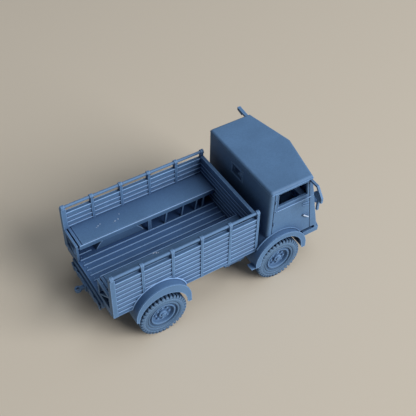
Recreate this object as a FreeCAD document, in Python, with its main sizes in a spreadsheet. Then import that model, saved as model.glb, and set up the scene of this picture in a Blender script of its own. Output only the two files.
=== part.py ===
"""Scale model of a forward-control military cargo truck, 1:72.

X points forward and Y to the truck's left from the middle of the truck, Z up from the ground.
Lengths are in millimetres. Like pieces on the left and the right are made by a loop.
"""
import FreeCAD, Part
import os
from math import cos, radians, sin

import Sketcher

Vector = FreeCAD.Vector

SIZES = {
    # Running gear
    "rear_axle_x": -17.4,
    "wheelbase": 34.7,
    "track": 27.5,
    "tyre_radius": 6.5,
    "tyre_width": 3.3,
    "lug_height": 0.4,
    "lug_width": 0.62,
    "bead_radius": 3.75,
    "bead_slope_width": 0.8,
    "bead_slope_depth": 0.35,
    "disc_width": 2.7,
    "disc_recess": 0.75,
    "hub_radius": 1.25,
    "nut_radius": 0.24,
    "nut_height": 0.3,
    "pin_radius": 0.8,
    "pin_clearance": 0.05,
    "seat_gap": 0.03,
    "knuckle_radius": 1.5,
    "knuckle_width": 0.9,
    "knuckle_gap": 0.5,
    "axle_radius": 0.85,
    "banjo_radius": 1.9,
    "banjo_half_width": 1.6,
    "spring_half_length": 6.2,
    "spring_width": 1.0,
    "spring_rise": 1.95,
    "leaf_thickness": 0.36,
    # Chassis frame
    "frame_tail": 0.4,
    "frame_nose_gap": 0.9,
    "rail_centre": 5.0,
    "rail_width": 1.0,
    "rail_depth": 2.1,
    "bearer_width": 1.0,
    "bearer_height": 1.0,
    "bearer_inset": 0.35,
    "transom_half_width": 8.0,
    "transom_thickness": 0.6,
    "transom_end_depth": 1.1,
    "hook_reach": 2.85,
    "hook_height": 0.9,
    "hook_plate": 0.4,
    "hook_eye_radius": 0.85,
    "hook_bore_radius": 0.4,
    # Cargo bed
    "bed_tail": 12.5,
    "bed_half_width": 13.45,
    "side_drop": 0.4,
    "side_height": 12.0,
    "board_thickness": 0.9,
    "board_end_strip": 1.3,
    "groove_width": 0.6,
    "groove_depth": 0.3,
    "floor_thickness": 0.8,
    "strip_width": 0.28,
    "strip_height": 0.22,
    "post_width": 0.75,
    "tail_post_width": 1.3,
    "post_thickness": 0.4,
    "rail_rise": 1.8,
    "rail_radius": 0.38,
    "knob_radius": 0.62,
    "knob_length": 0.9,
    "headboard_cap": 0.6,
    "bench_height": 5.5,
    "bench_width": 7.1,
    "bench_thickness": 0.55,
    "bench_tail_gap": 0.35,
    "bench_groove_width": 0.3,
    "bench_groove_depth": 0.2,
    "bench_lip": 0.9,
    "bench_lip_thickness": 0.35,
    "strut_width": 0.45,
    "leg_width": 1.0,
    "tail_frame_inset": 0.3,
    "tail_frame_width": 0.75,
    "tail_frame_thickness": 0.6,
    # Wheel arches
    "arch_clearance": 1.1,
    "arch_thickness": 0.5,
    "arch_overhang": 0.1,
    "arch_lip_depth": 0.4,
    "rear_arch_rise": 3.4,
    "rear_arch_room": 5.2,
    "front_arch_rise": 2.25,
    "front_arch_room": 2.9,
    # Cab
    "cab_setback": 3.7,
    "cab_gap": 2.6,
    "cab_length": 12.4,
    "cab_half_width": 14.0,
    "cab_skirt_drop": 0.4,
    "cab_height": 19.4,
    "cab_wall": 0.8,
    "cab_corner_radius": 0.8,
    "roof_thickness": 0.9,
    "roof_edge_radius": 0.75,
    "roof_overhang": 0.15,
    "nose_lean": 3.9,
    "vee_depth": 3.05,
    "screen_thickness": 0.65,
    "belt_rise": 12.4,
    "cab_quarter": 1.3,
    "door_top_length": 10.3,
    "door_lean": 2.43,
    "sill_rise": 1.1,
    "window_top_margin": 0.6,
    "window_rear_margin": 1.1,
    "window_front_margin": 0.65,
    "ledge_drop": 1.0,
    "ledge_height": 0.35,
    "ledge_depth": 0.3,
    "screen_margin": 1.1,
    "screen_sill_rise": 0.9,
    "rear_window_half_width": 2.1,
    "rear_window_offset": 0.5,
    "rear_window_drop": 2.0,
    "rear_window_height": 2.9,
    "rear_window_frame": 0.5,
    "rear_window_frame_depth": 0.2,
    "handle_rise": 6.5,
    "handle_set": 1.4,
    "handle_length": 1.4,
    "handle_radius": 0.2,
    "grille_half_width": 4.0,
    "grille_rise": 2.4,
    "grille_top_margin": 1.8,
    "grille_frame": 0.5,
    "grille_proud": 0.5,
    "louvre_width": 0.3,
    "lamp_radius": 1.45,
    "lamp_length": 1.5,
    "lamp_recess": 0.2,
    "lamp_rim": 0.25,
    "lamp_centre": 9.6,
    "lamp_rise": 5.0,
    "lamp_stalk_radius": 0.35,
    "bumper_gap": 1.15,
    "bumper_height": 1.6,
    "bumper_thickness": 0.7,
    "bumper_return": 5.0,
    "bumper_front_gap": 0.8,
    "mirror_arm_width": 0.64,
    "mirror_reach": 4.95,
    "mirror_shoulder": 2.8,
    "mirror_drop": 3.0,
    "mirror_half_height": 1.05,
    "mirror_half_width": 1.25,
    "mirror_thickness": 0.6,
    "mirror_stub": 3.4,
    "mirror_rise": 1.1,
    "mirror_fold_depth": 0.55,
    # Cab inside and drive line
    "cab_floor_thickness": 0.9,
    "seat_half_width": 3.0,
    "seat_centre": 5.6,
    "seat_setback": 2.0,
    "seat_depth": 5.6,
    "seat_rise": 4.7,
    "seat_back": 6.0,
    "seat_cushion": 1.3,
    "dash_drop": 2.0,
    "dash_depth": 1.6,
    "dash_height": 2.4,
    "steering_radius": 2.6,
    "steering_rim": 0.45,
    "steering_spoke": 0.4,
    "steering_column_radius": 0.35,
    "steering_clearance": 3.2,
    "engine_gap": 1.7,
    "engine_length": 6.9,
    "engine_half_width": 2.8,
    "engine_depth": 3.8,
    "gearbox_setback": 10.7,
    "gearbox_length": 4.5,
    "gearbox_half_width": 2.2,
    "gearbox_drop": 1.9,
    "shaft_radius": 0.5,
    "tank_gap": 1.1,
    "tank_length": 6.0,
    "tank_room": 1.7,
    "tank_width": 4.6,
    "tank_depth": 3.2,
    "tank_edge_radius": 0.6,
    # One length by which every cutting shape passes the faces that it cuts
    "overrun": 1.0,
}

LUG_COUNT = 36
NUT_COUNT = 8
BOARD_COUNT = 8
FLOOR_STRIP_COUNT = 7
POST_COUNT = 6
LOUVRE_COUNT = 9
STRUT_SHARES = (0.24, 0.49, 0.7, 0.81)
STRUT_SLANT_SHARE = 0.04
STEERING_LEAN = 30
ROD_SIDES = 8
RING_SIDES = 16
HEXAGON = 6

SIDES = {"left": 1, "right": -1}
ENDS = ("rear", "front")

doc = FreeCAD.newDocument("cargo_truck")
sub_parts = []


class Size:
    """A length with its value and the expression that ties it to the sheet."""

    def __init__(self, value, text):
        self.value = value
        self.text = text

    def __add__(self, other):
        other = as_size(other)
        return Size(self.value + other.value, f"({self.text} + {other.text})")

    def __sub__(self, other):
        other = as_size(other)
        return Size(self.value - other.value, f"({self.text} - {other.text})")

    def __mul__(self, other):
        other = as_size(other)
        return Size(self.value * other.value, f"({self.text} * {other.text})")

    def __truediv__(self, other):
        other = as_size(other)
        return Size(self.value / other.value, f"({self.text} / {other.text})")

    def __neg__(self):
        return Size(-self.value, f"(0 - {self.text})")

    __radd__ = __add__
    __rmul__ = __mul__


def as_size(number):
    """A plain share or zero as a Size."""
    if isinstance(number, Size):
        return number
    return Size(float(number), repr(float(number)))


def read_sheet():
    """Write the sizes into the document's sheet and return them by name."""
    sheet = doc.addObject("Spreadsheet::Sheet", "Sizes")
    names = {}
    for row, (alias, value) in enumerate(SIZES.items(), start=1):
        sheet.set(f"A{row}", alias)
        sheet.set(f"B{row}", str(value))
        sheet.setAlias(f"B{row}", alias)
        names[alias] = Size(value, f"Sizes.{alias}")
    doc.recompute()
    return names


S = type("Sheet", (), read_sheet())


def bind(item, prop, size):
    """Set one property from a size and keep it tied to the sheet."""
    size = as_size(size)
    item.setExpression(prop, size.text)


def place(item, base=(0, 0, 0), rotation=None):
    """Put an item at a base point whose coordinates follow the sheet."""
    if rotation is not None:
        item.Placement = FreeCAD.Placement(Vector(0, 0, 0), rotation)
    for letter, size in zip("xyz", base):
        bind(item, f"Placement.Base.{letter}", size)
    return item


def keep(item, label):
    """Name an item as one of the part's pieces."""
    item.Label = label
    sub_parts.append(item)
    return item


def box(name, x, y, z):
    """A block between two sizes along each axis."""
    item = doc.addObject("Part::Box", name)
    for prop, (low, high) in zip(("Length", "Width", "Height"), (x, y, z)):
        bind(item, prop, as_size(high) - low)
    return place(item, (x[0], y[0], z[0]))


def sided(side, inner, outer):
    """The span from inner to outer on one side, in rising order."""
    if side > 0:
        return (inner, outer)
    return (-as_size(outer), -as_size(inner))


TURNS = {
    "X": FreeCAD.Rotation(Vector(0, 1, 0), 90),
    "Y": FreeCAD.Rotation(Vector(1, 0, 0), -90),
    "Z": FreeCAD.Rotation(),
}


def bar(name, radius, along, start, length):
    """A round bar that starts at a point and runs along X, Y or Z."""
    item = doc.addObject("Part::Cylinder", name)
    bind(item, "Radius", radius)
    bind(item, "Height", length)
    return place(item, start, TURNS[along])


def flats(sides):
    """The half step that puts a flat of a many-sided bar on its own axis, and the share out to its corners."""
    return FreeCAD.Rotation(Vector(0, 0, 1), 180 / sides), 1 / cos(radians(180 / sides))


def rod(name, sides, radius, along, start, length):
    """A many-sided bar whose flats lie at the radius."""
    half_step, corner_share = flats(sides)
    item = doc.addObject("Part::Prism", name)
    item.Polygon = sides
    bind(item, "Circumradius", radius * corner_share)
    bind(item, "Height", length)
    return place(item, start, TURNS[along] * half_step)


def stepped(name, sides, stations, along, start):
    """A many-sided bar through (distance, radius) stations along X, Y or Z from a start."""
    half_step, corner_share = flats(sides)
    rings = []
    for number, (distance, radius) in enumerate(stations):
        ring = doc.addObject("Part::RegularPolygon", f"{name}_ring_{number}")
        ring.Polygon = sides
        bind(ring, "Circumradius", radius * corner_share)
        base = [as_size(value) for value in start]
        base["XYZ".index(along)] += distance
        rings.append(place(ring, base, TURNS[along] * half_step))
    item = doc.addObject("Part::Loft", name)
    item.Sections = rings
    item.Solid = True
    item.Ruled = True
    return item


def fuse(name, items):
    """One solid out of pieces that are moulded together."""
    item = doc.addObject("Part::MultiFuse", name)
    item.Shapes = list(items)
    item.Refine = True
    return item


def cut(name, base, tools):
    """A piece with the tools taken away."""
    item = doc.addObject("Part::Cut", name)
    item.Base = base
    item.Tool = tools[0] if len(tools) == 1 else fuse(name + "_tools", tools)
    item.Refine = True
    return item


def common(name, items):
    """What the items share."""
    item = doc.addObject("Part::MultiCommon", name)
    item.Shapes = list(items)
    return item


def together(name, items):
    """Like pieces that stand apart and share one node."""
    item = doc.addObject("Part::Compound", name)
    item.Links = list(items)
    return item


def origin_item(body, role):
    """One of a body's own origin planes or axes."""
    return next(item for item in body.Origin.OriginFeatures if item.Role == role)


def sketch_on(body, name, role, level=None):
    """An empty sketch on an origin plane, raised by a size if one is given."""
    sketch = body.newObject("Sketcher::SketchObject", name)
    sketch.AttachmentSupport = [(origin_item(body, role), "")]
    sketch.MapMode = "FlatFace"
    if level is not None:
        bind(sketch, "AttachmentOffset.Base.z", level)
    return sketch


def outline(sketch, points):
    """A closed outline whose corners are each tied to the sheet."""
    points = [(as_size(u), as_size(v)) for u, v in points]
    first = sketch.GeometryCount
    count = len(points)
    for index, (u, v) in enumerate(points):
        after = points[(index + 1) % count]
        start = Vector(u.value, v.value, 0)
        end = Vector(after[0].value, after[1].value, 0)
        sketch.addGeometry(Part.LineSegment(start, end))
    for index, (u, v) in enumerate(points):
        here = first + index
        after = first + (index + 1) % count
        sketch.addConstraint(Sketcher.Constraint("Coincident", here, 2, after, 1))
        for kind, size in (("DistanceX", u), ("DistanceY", v)):
            number = sketch.addConstraint(Sketcher.Constraint(kind, -1, 1, here, 1, size.value))
            sketch.setExpression(f"Constraints[{number}]", size.text)
    return sketch


PLANES = {"XY": ("XY_Plane", "z"), "YZ": ("YZ_Plane", "x"), "XZ": ("XZ_Plane", "y")}


def prism(name, plane, points, low, high):
    """An outline padded between two levels of the axis across its plane."""
    body = doc.addObject("PartDesign::Body", name)
    role, letter = PLANES[plane]
    sketch = outline(sketch_on(body, name + "_outline", role), points)
    pad = body.newObject("PartDesign::Pad", name + "_pad")
    pad.Profile = sketch
    bind(pad, "Length", as_size(high) - low)
    start = high if plane == "XZ" else low
    bind(body, f"Placement.Base.{letter}", start)
    return body


def turned(name, points, base, span=360):
    """A profile of (y, radius) points turned about an axis along Y through the base."""
    body = doc.addObject("PartDesign::Body", name)
    sketch = outline(sketch_on(body, name + "_profile", "YZ_Plane"), points)
    turn = body.newObject("PartDesign::Revolution", name + "_turn")
    turn.Profile = sketch
    turn.ReferenceAxis = (origin_item(body, "Y_Axis"), [""])
    turn.Angle = span
    turn.Midplane = span < 360
    return place(body, base)


def mirrored_points(points, side):
    """Points of a (y, z) outline on one side, kept turning the same way."""
    if side > 0:
        return points
    return [(-as_size(y), z) for y, z in reversed(points)]


# Places along the truck
AXLES = {"rear": S.rear_axle_x, "front": S.rear_axle_x + S.wheelbase}
bed_rear = AXLES["rear"] - S.bed_tail
cab_rear = AXLES["front"] - S.cab_setback
bed_front = cab_rear - S.cab_gap
roof_corner_x = cab_rear + S.cab_length
door_rear = cab_rear + S.cab_quarter
frame_rear = bed_rear - S.frame_tail
frame_front = roof_corner_x + S.nose_lean - S.frame_nose_gap
gearbox_front = AXLES["front"] - S.gearbox_setback
gearbox_rear = gearbox_front - S.gearbox_length

# Heights
rail_bottom = S.tyre_radius + S.axle_radius + S.spring_rise
rail_top = rail_bottom + S.rail_depth
floor_bottom = rail_top + S.bearer_height
floor_top = floor_bottom + S.floor_thickness
side_bottom = floor_bottom - S.side_drop
side_top = side_bottom + S.side_height
rail_height = side_top + S.rail_rise
bench_top = floor_top + S.bench_height
cab_bottom = floor_bottom - S.cab_skirt_drop
roof_top = cab_bottom + S.cab_height
cab_top = roof_top - S.roof_thickness
belt_height = cab_bottom + S.belt_rise
bumper_top = cab_bottom - S.bumper_gap
window_sill = belt_height + S.sill_rise
window_head = cab_top - S.window_top_margin
cab_floor_top = floor_bottom + S.cab_floor_thickness
seat_height = cab_floor_top + S.seat_rise
ARCH_HEIGHTS = {"rear": S.tyre_radius + S.rear_arch_rise, "front": S.tyre_radius + S.front_arch_rise}

# Distances from the middle
wheel_centre_y = S.track / 2
tyre_inner = wheel_centre_y - S.tyre_width / 2
side_inner = S.bed_half_width - S.board_thickness
bench_inner = side_inner - S.bench_width
bearer_reach = side_inner - S.bearer_inset
arch_radius = S.tyre_radius + S.arch_clearance
arch_outer = wheel_centre_y + S.tyre_width / 2 + S.arch_overhang
ARCH_INNERS = {"rear": tyre_inner - S.rear_arch_room, "front": tyre_inner - S.front_arch_room}


def arch_tool(name, end, side, inner, outer):
    """A cylinder that clears a wheel arch out of a panel between two distances from the middle."""
    across = sided(side, inner, outer)
    base = (AXLES[end], across[0], ARCH_HEIGHTS[end])
    return bar(name, arch_radius + S.seat_gap, "Y", base, across[1] - across[0])


def make_tyre():
    """The tyre: a carcass with one flat for each lug and a sloped bead, and the lugs round its tread."""
    half = S.tyre_width / 2
    tread = S.tyre_radius - S.lug_height
    bead = S.bead_radius
    blank = rod("tyre_blank", LUG_COUNT, tread, "Y", (0, -half, 0), S.tyre_width)
    mouth = bead + S.bead_slope_width
    hollow = stepped("tyre_hollow", LUG_COUNT, [
        (-S.overrun, bead), (S.tyre_width - S.bead_slope_depth, bead), (S.tyre_width, mouth),
        (S.tyre_width + S.overrun, mouth),
    ], "Y", (0, -half, 0))
    carcass = cut("tyre_carcass", blank, [hollow])
    tyre = doc.addObject("PartDesign::Body", "tyre")
    tyre.BaseFeature = carcass
    sketch = sketch_on(tyre, "lug_profile", "YZ_Plane")
    low = tread - S.lug_height
    outline(sketch, [(-half, low), (half, low), (half, S.tyre_radius), (-half, S.tyre_radius)])
    pad = tyre.newObject("PartDesign::Pad", "lug")
    pad.Profile = sketch
    pad.Midplane = True
    bind(pad, "Length", S.lug_width)
    repeat_round(tyre, pad, "lug_ring", LUG_COUNT)
    return tyre


def repeat_round(body, feature, name, count):
    """Repeat a body's last feature round its Y axis."""
    doc.recompute()
    ring = body.newObject("PartDesign::PolarPattern", name)
    ring.Originals = [feature]
    ring.Axis = (origin_item(body, "Y_Axis"), [""])
    ring.Angle = 360
    ring.Occurrences = count
    body.Tip = ring


def make_disc():
    """The wheel disc: rim with a dished face, hub and a ring of hexagonal nuts, bored for the axle pin."""
    half = S.disc_width / 2
    rim = S.bead_radius - S.seat_gap
    face = half - S.disc_recess
    blank = rod("disc_blank", LUG_COUNT, rim, "Y", (0, -half, 0), S.disc_width)
    dish = stepped("disc_dish", LUG_COUNT, [(face, rim * 0.74), (half, rim * 0.84), (half + S.overrun, rim * 0.84)],
                   "Y", (0, 0, 0))
    hub = stepped("disc_hub", RING_SIDES, [(face - S.nut_height, S.hub_radius), (half, S.hub_radius * 0.8)],
                  "Y", (0, 0, 0))
    depth = S.disc_width - S.nut_height + S.overrun
    bore = bar("disc_bore", S.pin_radius + S.pin_clearance, "Y", (0, -half - S.overrun, 0), depth)
    dished = cut("disc_dished", blank, [dish])
    form = cut("disc_form", fuse("disc_with_hub", [dished, hub]), [bore])
    disc = doc.addObject("PartDesign::Body", "wheel_disc")
    disc.BaseFeature = form
    sketch = sketch_on(disc, "nut_profile", "XZ_Plane", -(face + S.nut_height))
    ring_radius = (S.hub_radius + rim * 0.74) / 2
    corners = [(ring_radius + S.nut_radius * cos(radians(angle)), S.nut_radius * sin(radians(angle)))
               for angle in range(0, 360, 360 // HEXAGON)]
    outline(sketch, corners)
    pad = disc.newObject("PartDesign::Pad", "nut")
    pad.Profile = sketch
    bind(pad, "Length", S.nut_height * 2)
    repeat_round(disc, pad, "nut_ring", NUT_COUNT)
    return disc


def make_wheels():
    """Place the tyre and the disc at the four corners."""
    masters = {"tyre": make_tyre(), "wheel_disc": make_disc()}
    doc.recompute()
    for end in ENDS:
        for side_name, side in SIDES.items():
            for word, master in masters.items():
                link = doc.addObject("App::Link", f"{word}_{end}_{side_name}")
                link.LinkedObject = master
                turn = FreeCAD.Rotation(Vector(0, 0, 1), 0 if side > 0 else 180)
                place(link, (AXLES[end], wheel_centre_y * side, S.tyre_radius), turn)
                keep(link, f"{word}_{end}_{side_name}")


def make_axle(end):
    """A beam axle: banjo housing, tubes, knuckles and the round pins that carry the wheels."""
    disc_inner = wheel_centre_y - S.disc_width / 2
    knuckle_out = disc_inner - S.knuckle_gap
    knuckle_in = knuckle_out - S.knuckle_width
    pin_end = wheel_centre_y + S.disc_width / 2 - S.nut_height - S.pin_clearance
    half = [
        (knuckle_out, S.knuckle_radius), (knuckle_in, S.knuckle_radius),
        (knuckle_in - S.knuckle_width / 2, S.axle_radius),
        (S.banjo_half_width * 1.8, S.axle_radius), (S.banjo_half_width, S.banjo_radius),
    ]
    stations = [(-y, radius) for y, radius in half] + list(reversed(half))
    centre = (AXLES[end], 0, S.tyre_radius)
    beam = stepped(f"{end}_axle_beam", ROD_SIDES, stations, "Y", centre)
    pins = bar(f"{end}_axle_pins", S.pin_radius, "Y", (AXLES[end], -pin_end, S.tyre_radius), pin_end * 2)
    keep(fuse(f"{end}_axle", [beam, pins]), f"{end}_axle")


def make_springs(end):
    """Two leaf springs between the axle and the frame's rails."""
    seat = S.tyre_radius + S.axle_radius
    reach = S.spring_half_length
    leaf = S.leaf_thickness
    drop = rail_bottom - seat
    half = [
        (reach, drop), (reach, drop - leaf), (reach * 0.62, drop * 0.45 - leaf * 0.2),
        (reach * 0.6, drop * 0.45 - leaf), (reach * 0.25, leaf * 0.3), (reach * 0.12, 0),
    ]
    under = [(-u, v) for u, v in reversed(half)]
    top = [(-reach * 0.9, drop), (-reach * 0.3, leaf * 3), (reach * 0.3, leaf * 3), (reach * 0.9, drop)]
    points = list(reversed(half)) + list(reversed(top)) + list(reversed(under))
    springs = []
    for side_name, side in SIDES.items():
        low, high = sided(side, S.rail_centre - S.spring_width / 2, S.rail_centre + S.spring_width / 2)
        spring = prism(f"{end}_spring_{side_name}", "XZ", points, low, high)
        bind(spring, "Placement.Base.x", AXLES[end])
        bind(spring, "Placement.Base.z", seat)
        springs.append(spring)
    keep(together(f"{end}_springs", springs), f"{end}_springs")


def make_frame():
    """Two rails, cross members, the bearers under the bed and the cab, and the deep rear transom."""
    pieces = []
    for side_name, side in SIDES.items():
        across = sided(side, S.rail_centre - S.rail_width / 2, S.rail_centre + S.rail_width / 2)
        pieces.append(box(f"rail_{side_name}", (frame_rear, frame_front), across, (rail_bottom, rail_top)))
    inner = S.rail_centre - S.rail_width / 2
    members = (frame_rear, gearbox_rear - S.bearer_width * 2, frame_front - S.bearer_width)
    for number, x in enumerate(members):
        pieces.append(box(f"cross_member_{number}", (x, x + S.bearer_width), (-inner, inner),
                          (rail_bottom, rail_top)))
    arch_end = AXLES["rear"] + arch_radius
    bearers = (
        bed_rear, arch_end + S.bearer_width,
        (arch_end + bed_front) / 2, bed_front - S.bearer_width * 3,
        cab_rear + S.cab_wall + S.seat_gap, frame_front - S.bearer_width * 1.5,
    )
    for number, x in enumerate(bearers):
        pieces.append(box(f"bearer_{number}", (x, x + S.bearer_width), (-bearer_reach, bearer_reach),
                          (rail_top, floor_bottom)))
    wide = S.transom_half_width
    end_bottom = rail_top - S.transom_end_depth
    belly = [(-wide, end_bottom), (-wide * 0.3, rail_bottom), (wide * 0.3, rail_bottom), (wide, end_bottom),
             (wide, rail_top), (-wide, rail_top)]
    pieces.append(prism("rear_transom", "YZ", belly, frame_rear - S.transom_thickness, frame_rear))
    tyre_room = S.tyre_radius + S.bearer_width
    rooms = []
    for side_name, side in SIDES.items():
        across = sided(side, ARCH_INNERS["front"] - S.arch_thickness, bearer_reach + S.overrun)
        rooms.append(box(f"tyre_room_{side_name}", (AXLES["front"] - tyre_room, AXLES["front"] + tyre_room),
                         across, (rail_bottom, floor_bottom + S.overrun)))
    keep(cut("chassis_frame", fuse("frame_members", pieces), rooms), "chassis_frame")


def make_floor():
    """The bed's floor with raised strips, open over the rear wheels."""
    slab = box("floor_slab", (bed_rear, bed_front), (-side_inner, side_inner), (floor_bottom, floor_top))
    strips = []
    reach = bench_inner + S.bench_lip_thickness - S.strip_width / 2 - S.pin_clearance
    rear = bed_rear + S.tail_frame_thickness * 1.2
    for number in range(FLOOR_STRIP_COUNT):
        y = reach * (number / (FLOOR_STRIP_COUNT - 1) * 2 - 1)
        strips.append(box(f"floor_strip_{number}", (rear, bed_front - S.board_thickness),
                          (y - S.strip_width / 2, y + S.strip_width / 2), (floor_top, floor_top + S.strip_height)))
    wells = []
    for side_name, side in SIDES.items():
        wells.append(arch_tool(f"floor_well_{side_name}", "rear", side, ARCH_INNERS["rear"] - S.seat_gap,
                               S.bed_half_width + S.overrun))
    keep(cut("bed_floor", fuse("floor_with_strips", [slab] + strips), wells), "bed_floor")


def board_profile(outer, inner, bottom, top):
    """A wall of boards in (across, up) points, grooved between boards on both faces."""
    pitch = (top - bottom) / BOARD_COUNT
    out = [(outer, bottom)]
    back = [(inner, bottom)]
    for number in range(1, BOARD_COUNT):
        level = bottom + pitch * number
        for points, face, inward in ((out, outer, -1), (back, inner, 1)):
            points.append((face, level - S.groove_width / 2))
            points.append((face + S.groove_depth * inward, level))
            points.append((face, level + S.groove_width / 2))
    out.append((outer, top))
    back.append((inner, top))
    return out + list(reversed(back))


def make_sides():
    """The bed's two board walls with a plain strip at the tail, cut for the wheel arches, and their rails."""
    for side_name, side in SIDES.items():
        strip_end = bed_rear + S.board_end_strip
        points = board_profile(S.bed_half_width, side_inner, side_bottom, side_top)
        boards = prism(f"side_boards_{side_name}", "YZ", mirrored_points(points, side), strip_end, bed_front)
        strip = box(f"side_end_strip_{side_name}", (bed_rear, strip_end),
                    sided(side, side_inner, S.bed_half_width), (side_bottom, side_top))
        tool = arch_tool(f"side_arch_{side_name}", "rear", side, side_inner - S.overrun,
                         S.bed_half_width + S.overrun)
        wall = fuse(f"side_wall_{side_name}", [boards, strip])
        keep(cut(f"bed_side_{side_name}", wall, [tool]), f"bed_side_{side_name}")
        make_rail(side_name, side)


def make_rail(side_name, side):
    """Posts that saddle a board wall and carry a rail with a knob on each post."""
    outer = S.bed_half_width + S.post_thickness
    inner = side_inner - S.post_thickness
    post_top = rail_height - S.rail_radius / 2
    outside = [(side_inner, side_top), (S.bed_half_width, side_top), (S.bed_half_width, side_bottom),
               (outer, side_bottom), (outer, post_top)]
    saddle = outside + [(inner, post_top), (inner, bench_top), (side_inner, bench_top)]
    corner = outside + [(side_inner, post_top)]
    rail_y = (S.bed_half_width - S.board_thickness / 2) * side
    span = bed_front - bed_rear
    pieces = [rod(f"rail_bar_{side_name}", ROD_SIDES, S.rail_radius, "X", (bed_rear, rail_y, rail_height), span)]
    for number in range(POST_COUNT):
        width = S.tail_post_width if number == 0 else S.post_width
        x = bed_rear + (span - S.post_width) * (number / (POST_COUNT - 1))
        name = f"{side_name}_{number}"
        section = corner if number == POST_COUNT - 1 else saddle
        pieces.append(prism(f"post_{name}", "YZ", mirrored_points(section, side), x, x + width))
        knob_x = x + width / 2 - S.knob_length / 2
        pieces.append(rod(f"knob_{name}", ROD_SIDES, S.knob_radius, "X", (knob_x, rail_y, rail_height),
                          S.knob_length))
    tool = arch_tool(f"post_arch_{side_name}", "rear", side, side_inner - S.overrun, outer + S.overrun)
    keep(cut(f"bed_rail_{side_name}", fuse(f"rail_pieces_{side_name}", pieces), [tool]), f"bed_rail_{side_name}")


def make_headboard():
    """The board wall behind the cab with its cap."""
    low = bed_front - S.board_thickness
    points = [(x, z) for x, z in board_profile(bed_front, low, floor_top, side_top)]
    wall = prism("headboard_boards", "XZ", points, -side_inner, side_inner)
    cap = box("headboard_cap", (low, bed_front), (-side_inner, side_inner),
              (side_top, side_top + S.headboard_cap))
    keep(fuse("headboard", [wall, cap]), "headboard")


def make_tail_frames():
    """The short fixed end frames beside the open tail."""
    for side_name, side in SIDES.items():
        inner = bench_inner + S.tail_frame_inset
        width = S.tail_frame_width
        sheet = S.tail_frame_thickness
        x = (bed_rear, bed_rear + sheet)
        pieces = [
            box(f"tail_top_{side_name}", x, sided(side, inner, side_inner), (bench_top - width, bench_top)),
            box(f"tail_inner_{side_name}", x, sided(side, inner, inner + width), (floor_top, bench_top)),
            box(f"tail_outer_{side_name}", x, sided(side, side_inner - width, side_inner), (floor_top, bench_top)),
            box(f"tail_foot_{side_name}", x, sided(side, inner, side_inner), (floor_top, floor_top + width)),
        ]
        brace = [
            (inner + width, floor_top + width), (inner + width * 1.8, floor_top + width),
            (side_inner - width, bench_top - width), (side_inner - width * 1.8, bench_top - width),
        ]
        pieces.append(prism(f"tail_brace_{side_name}", "YZ", mirrored_points(brace, side), x[0], x[1]))
        keep(fuse(f"tail_frame_{side_name}", pieces), f"tail_frame_{side_name}")


def make_benches():
    """A flat bench with a turned-down lip along each side, on a leg and slanted struts."""
    under = bench_top - S.bench_thickness
    rear = bed_rear + S.tail_frame_thickness + S.bench_tail_gap
    front = bed_front - S.board_thickness
    groove_x = rear + S.bench_groove_width * 2
    for side_name, side in SIDES.items():
        lip = S.bench_lip_thickness
        section = [
            (side_inner, under), (side_inner, bench_top), (bench_inner + lip, bench_top),
            (bench_inner, bench_top - lip), (bench_inner, under - S.bench_lip),
            (bench_inner + lip, under - S.bench_lip), (bench_inner + lip, under),
        ]
        plank = prism(f"bench_plank_{side_name}", "YZ", mirrored_points(section, side), rear, front)
        groove = box(f"bench_groove_{side_name}", (groove_x, groove_x + S.bench_groove_width),
                     sided(side, bench_inner - S.overrun, side_inner + S.overrun),
                     (bench_top - S.bench_groove_depth, bench_top + S.overrun))
        keep(cut(f"bench_{side_name}", plank, [groove]), f"bench_{side_name}")
        struts = []
        across = sided(side, bench_inner + lip, bench_inner + lip + S.strut_width)
        leg_x = AXLES["rear"] + arch_radius
        struts.append(box(f"bench_leg_{side_name}", (leg_x, leg_x + S.leg_width), across, (floor_top, under)))
        span = front - leg_x
        for number, share in enumerate(STRUT_SHARES):
            foot = leg_x + span * share
            head = foot + span * STRUT_SLANT_SHARE
            points = [
                (foot, floor_top), (foot + S.strut_width, floor_top), (head + S.strut_width, under), (head, under),
            ]
            struts.append(prism(f"bench_strut_{side_name}_{number}", "XZ", points, across[0], across[1]))
        keep(together(f"bench_legs_{side_name}", struts), f"bench_legs_{side_name}")


def make_arch(end, side_name, side, inner):
    """A wheel arch: a half tube with a turned-down outer lip and a closed inner wall."""
    height = ARCH_HEIGHTS[end]
    radius = arch_radius
    shell = radius - S.arch_thickness
    lip = shell - S.arch_lip_depth
    outer = arch_outer
    section = [
        (inner, shell), (inner, radius), (outer, radius), (outer, lip),
        (outer - S.arch_thickness * 0.7, lip), (outer - S.arch_thickness * 0.7, shell),
    ]
    section = mirrored_points(section, side)
    name = f"{end}_{side_name}"
    tube = turned(f"arch_tube_{name}", section, (AXLES[end], 0, height), span=184)
    across = sided(side, inner, inner + S.arch_thickness)
    disc = bar(f"arch_disc_{name}", radius, "Y", (AXLES[end], across[0], height), across[1] - across[0])
    keep_above = box(f"arch_floor_{name}", (AXLES[end] - radius, AXLES[end] + radius), across,
                     (floor_bottom, height + radius))
    wall = common(f"arch_wall_{name}", [disc, keep_above])
    across = sided(side, inner - S.overrun, S.bed_half_width + S.post_thickness + S.seat_gap)
    bed_room = box(f"arch_bed_room_{name}", (bed_rear, bed_front + S.seat_gap), across,
                   (side_bottom - S.seat_gap, side_top))
    arch = fuse(f"arch_form_{name}", [tube, wall])
    keep(cut(f"{end}_arch_{side_name}", arch, [bed_room]) if end == "front" else arch, f"{end}_arch_{side_name}")


def make_arches():
    """All four wheel arches."""
    for side_name, side in SIDES.items():
        make_arch("rear", side_name, side, ARCH_INNERS["rear"])
        make_arch("front", side_name, side, ARCH_INNERS["front"])


def corner_x(level):
    """The cab's front corner at a height: it leans forward towards the bottom."""
    share = (roof_top - level) / (roof_top - cab_bottom)
    return roof_corner_x + S.nose_lean * share


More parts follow.
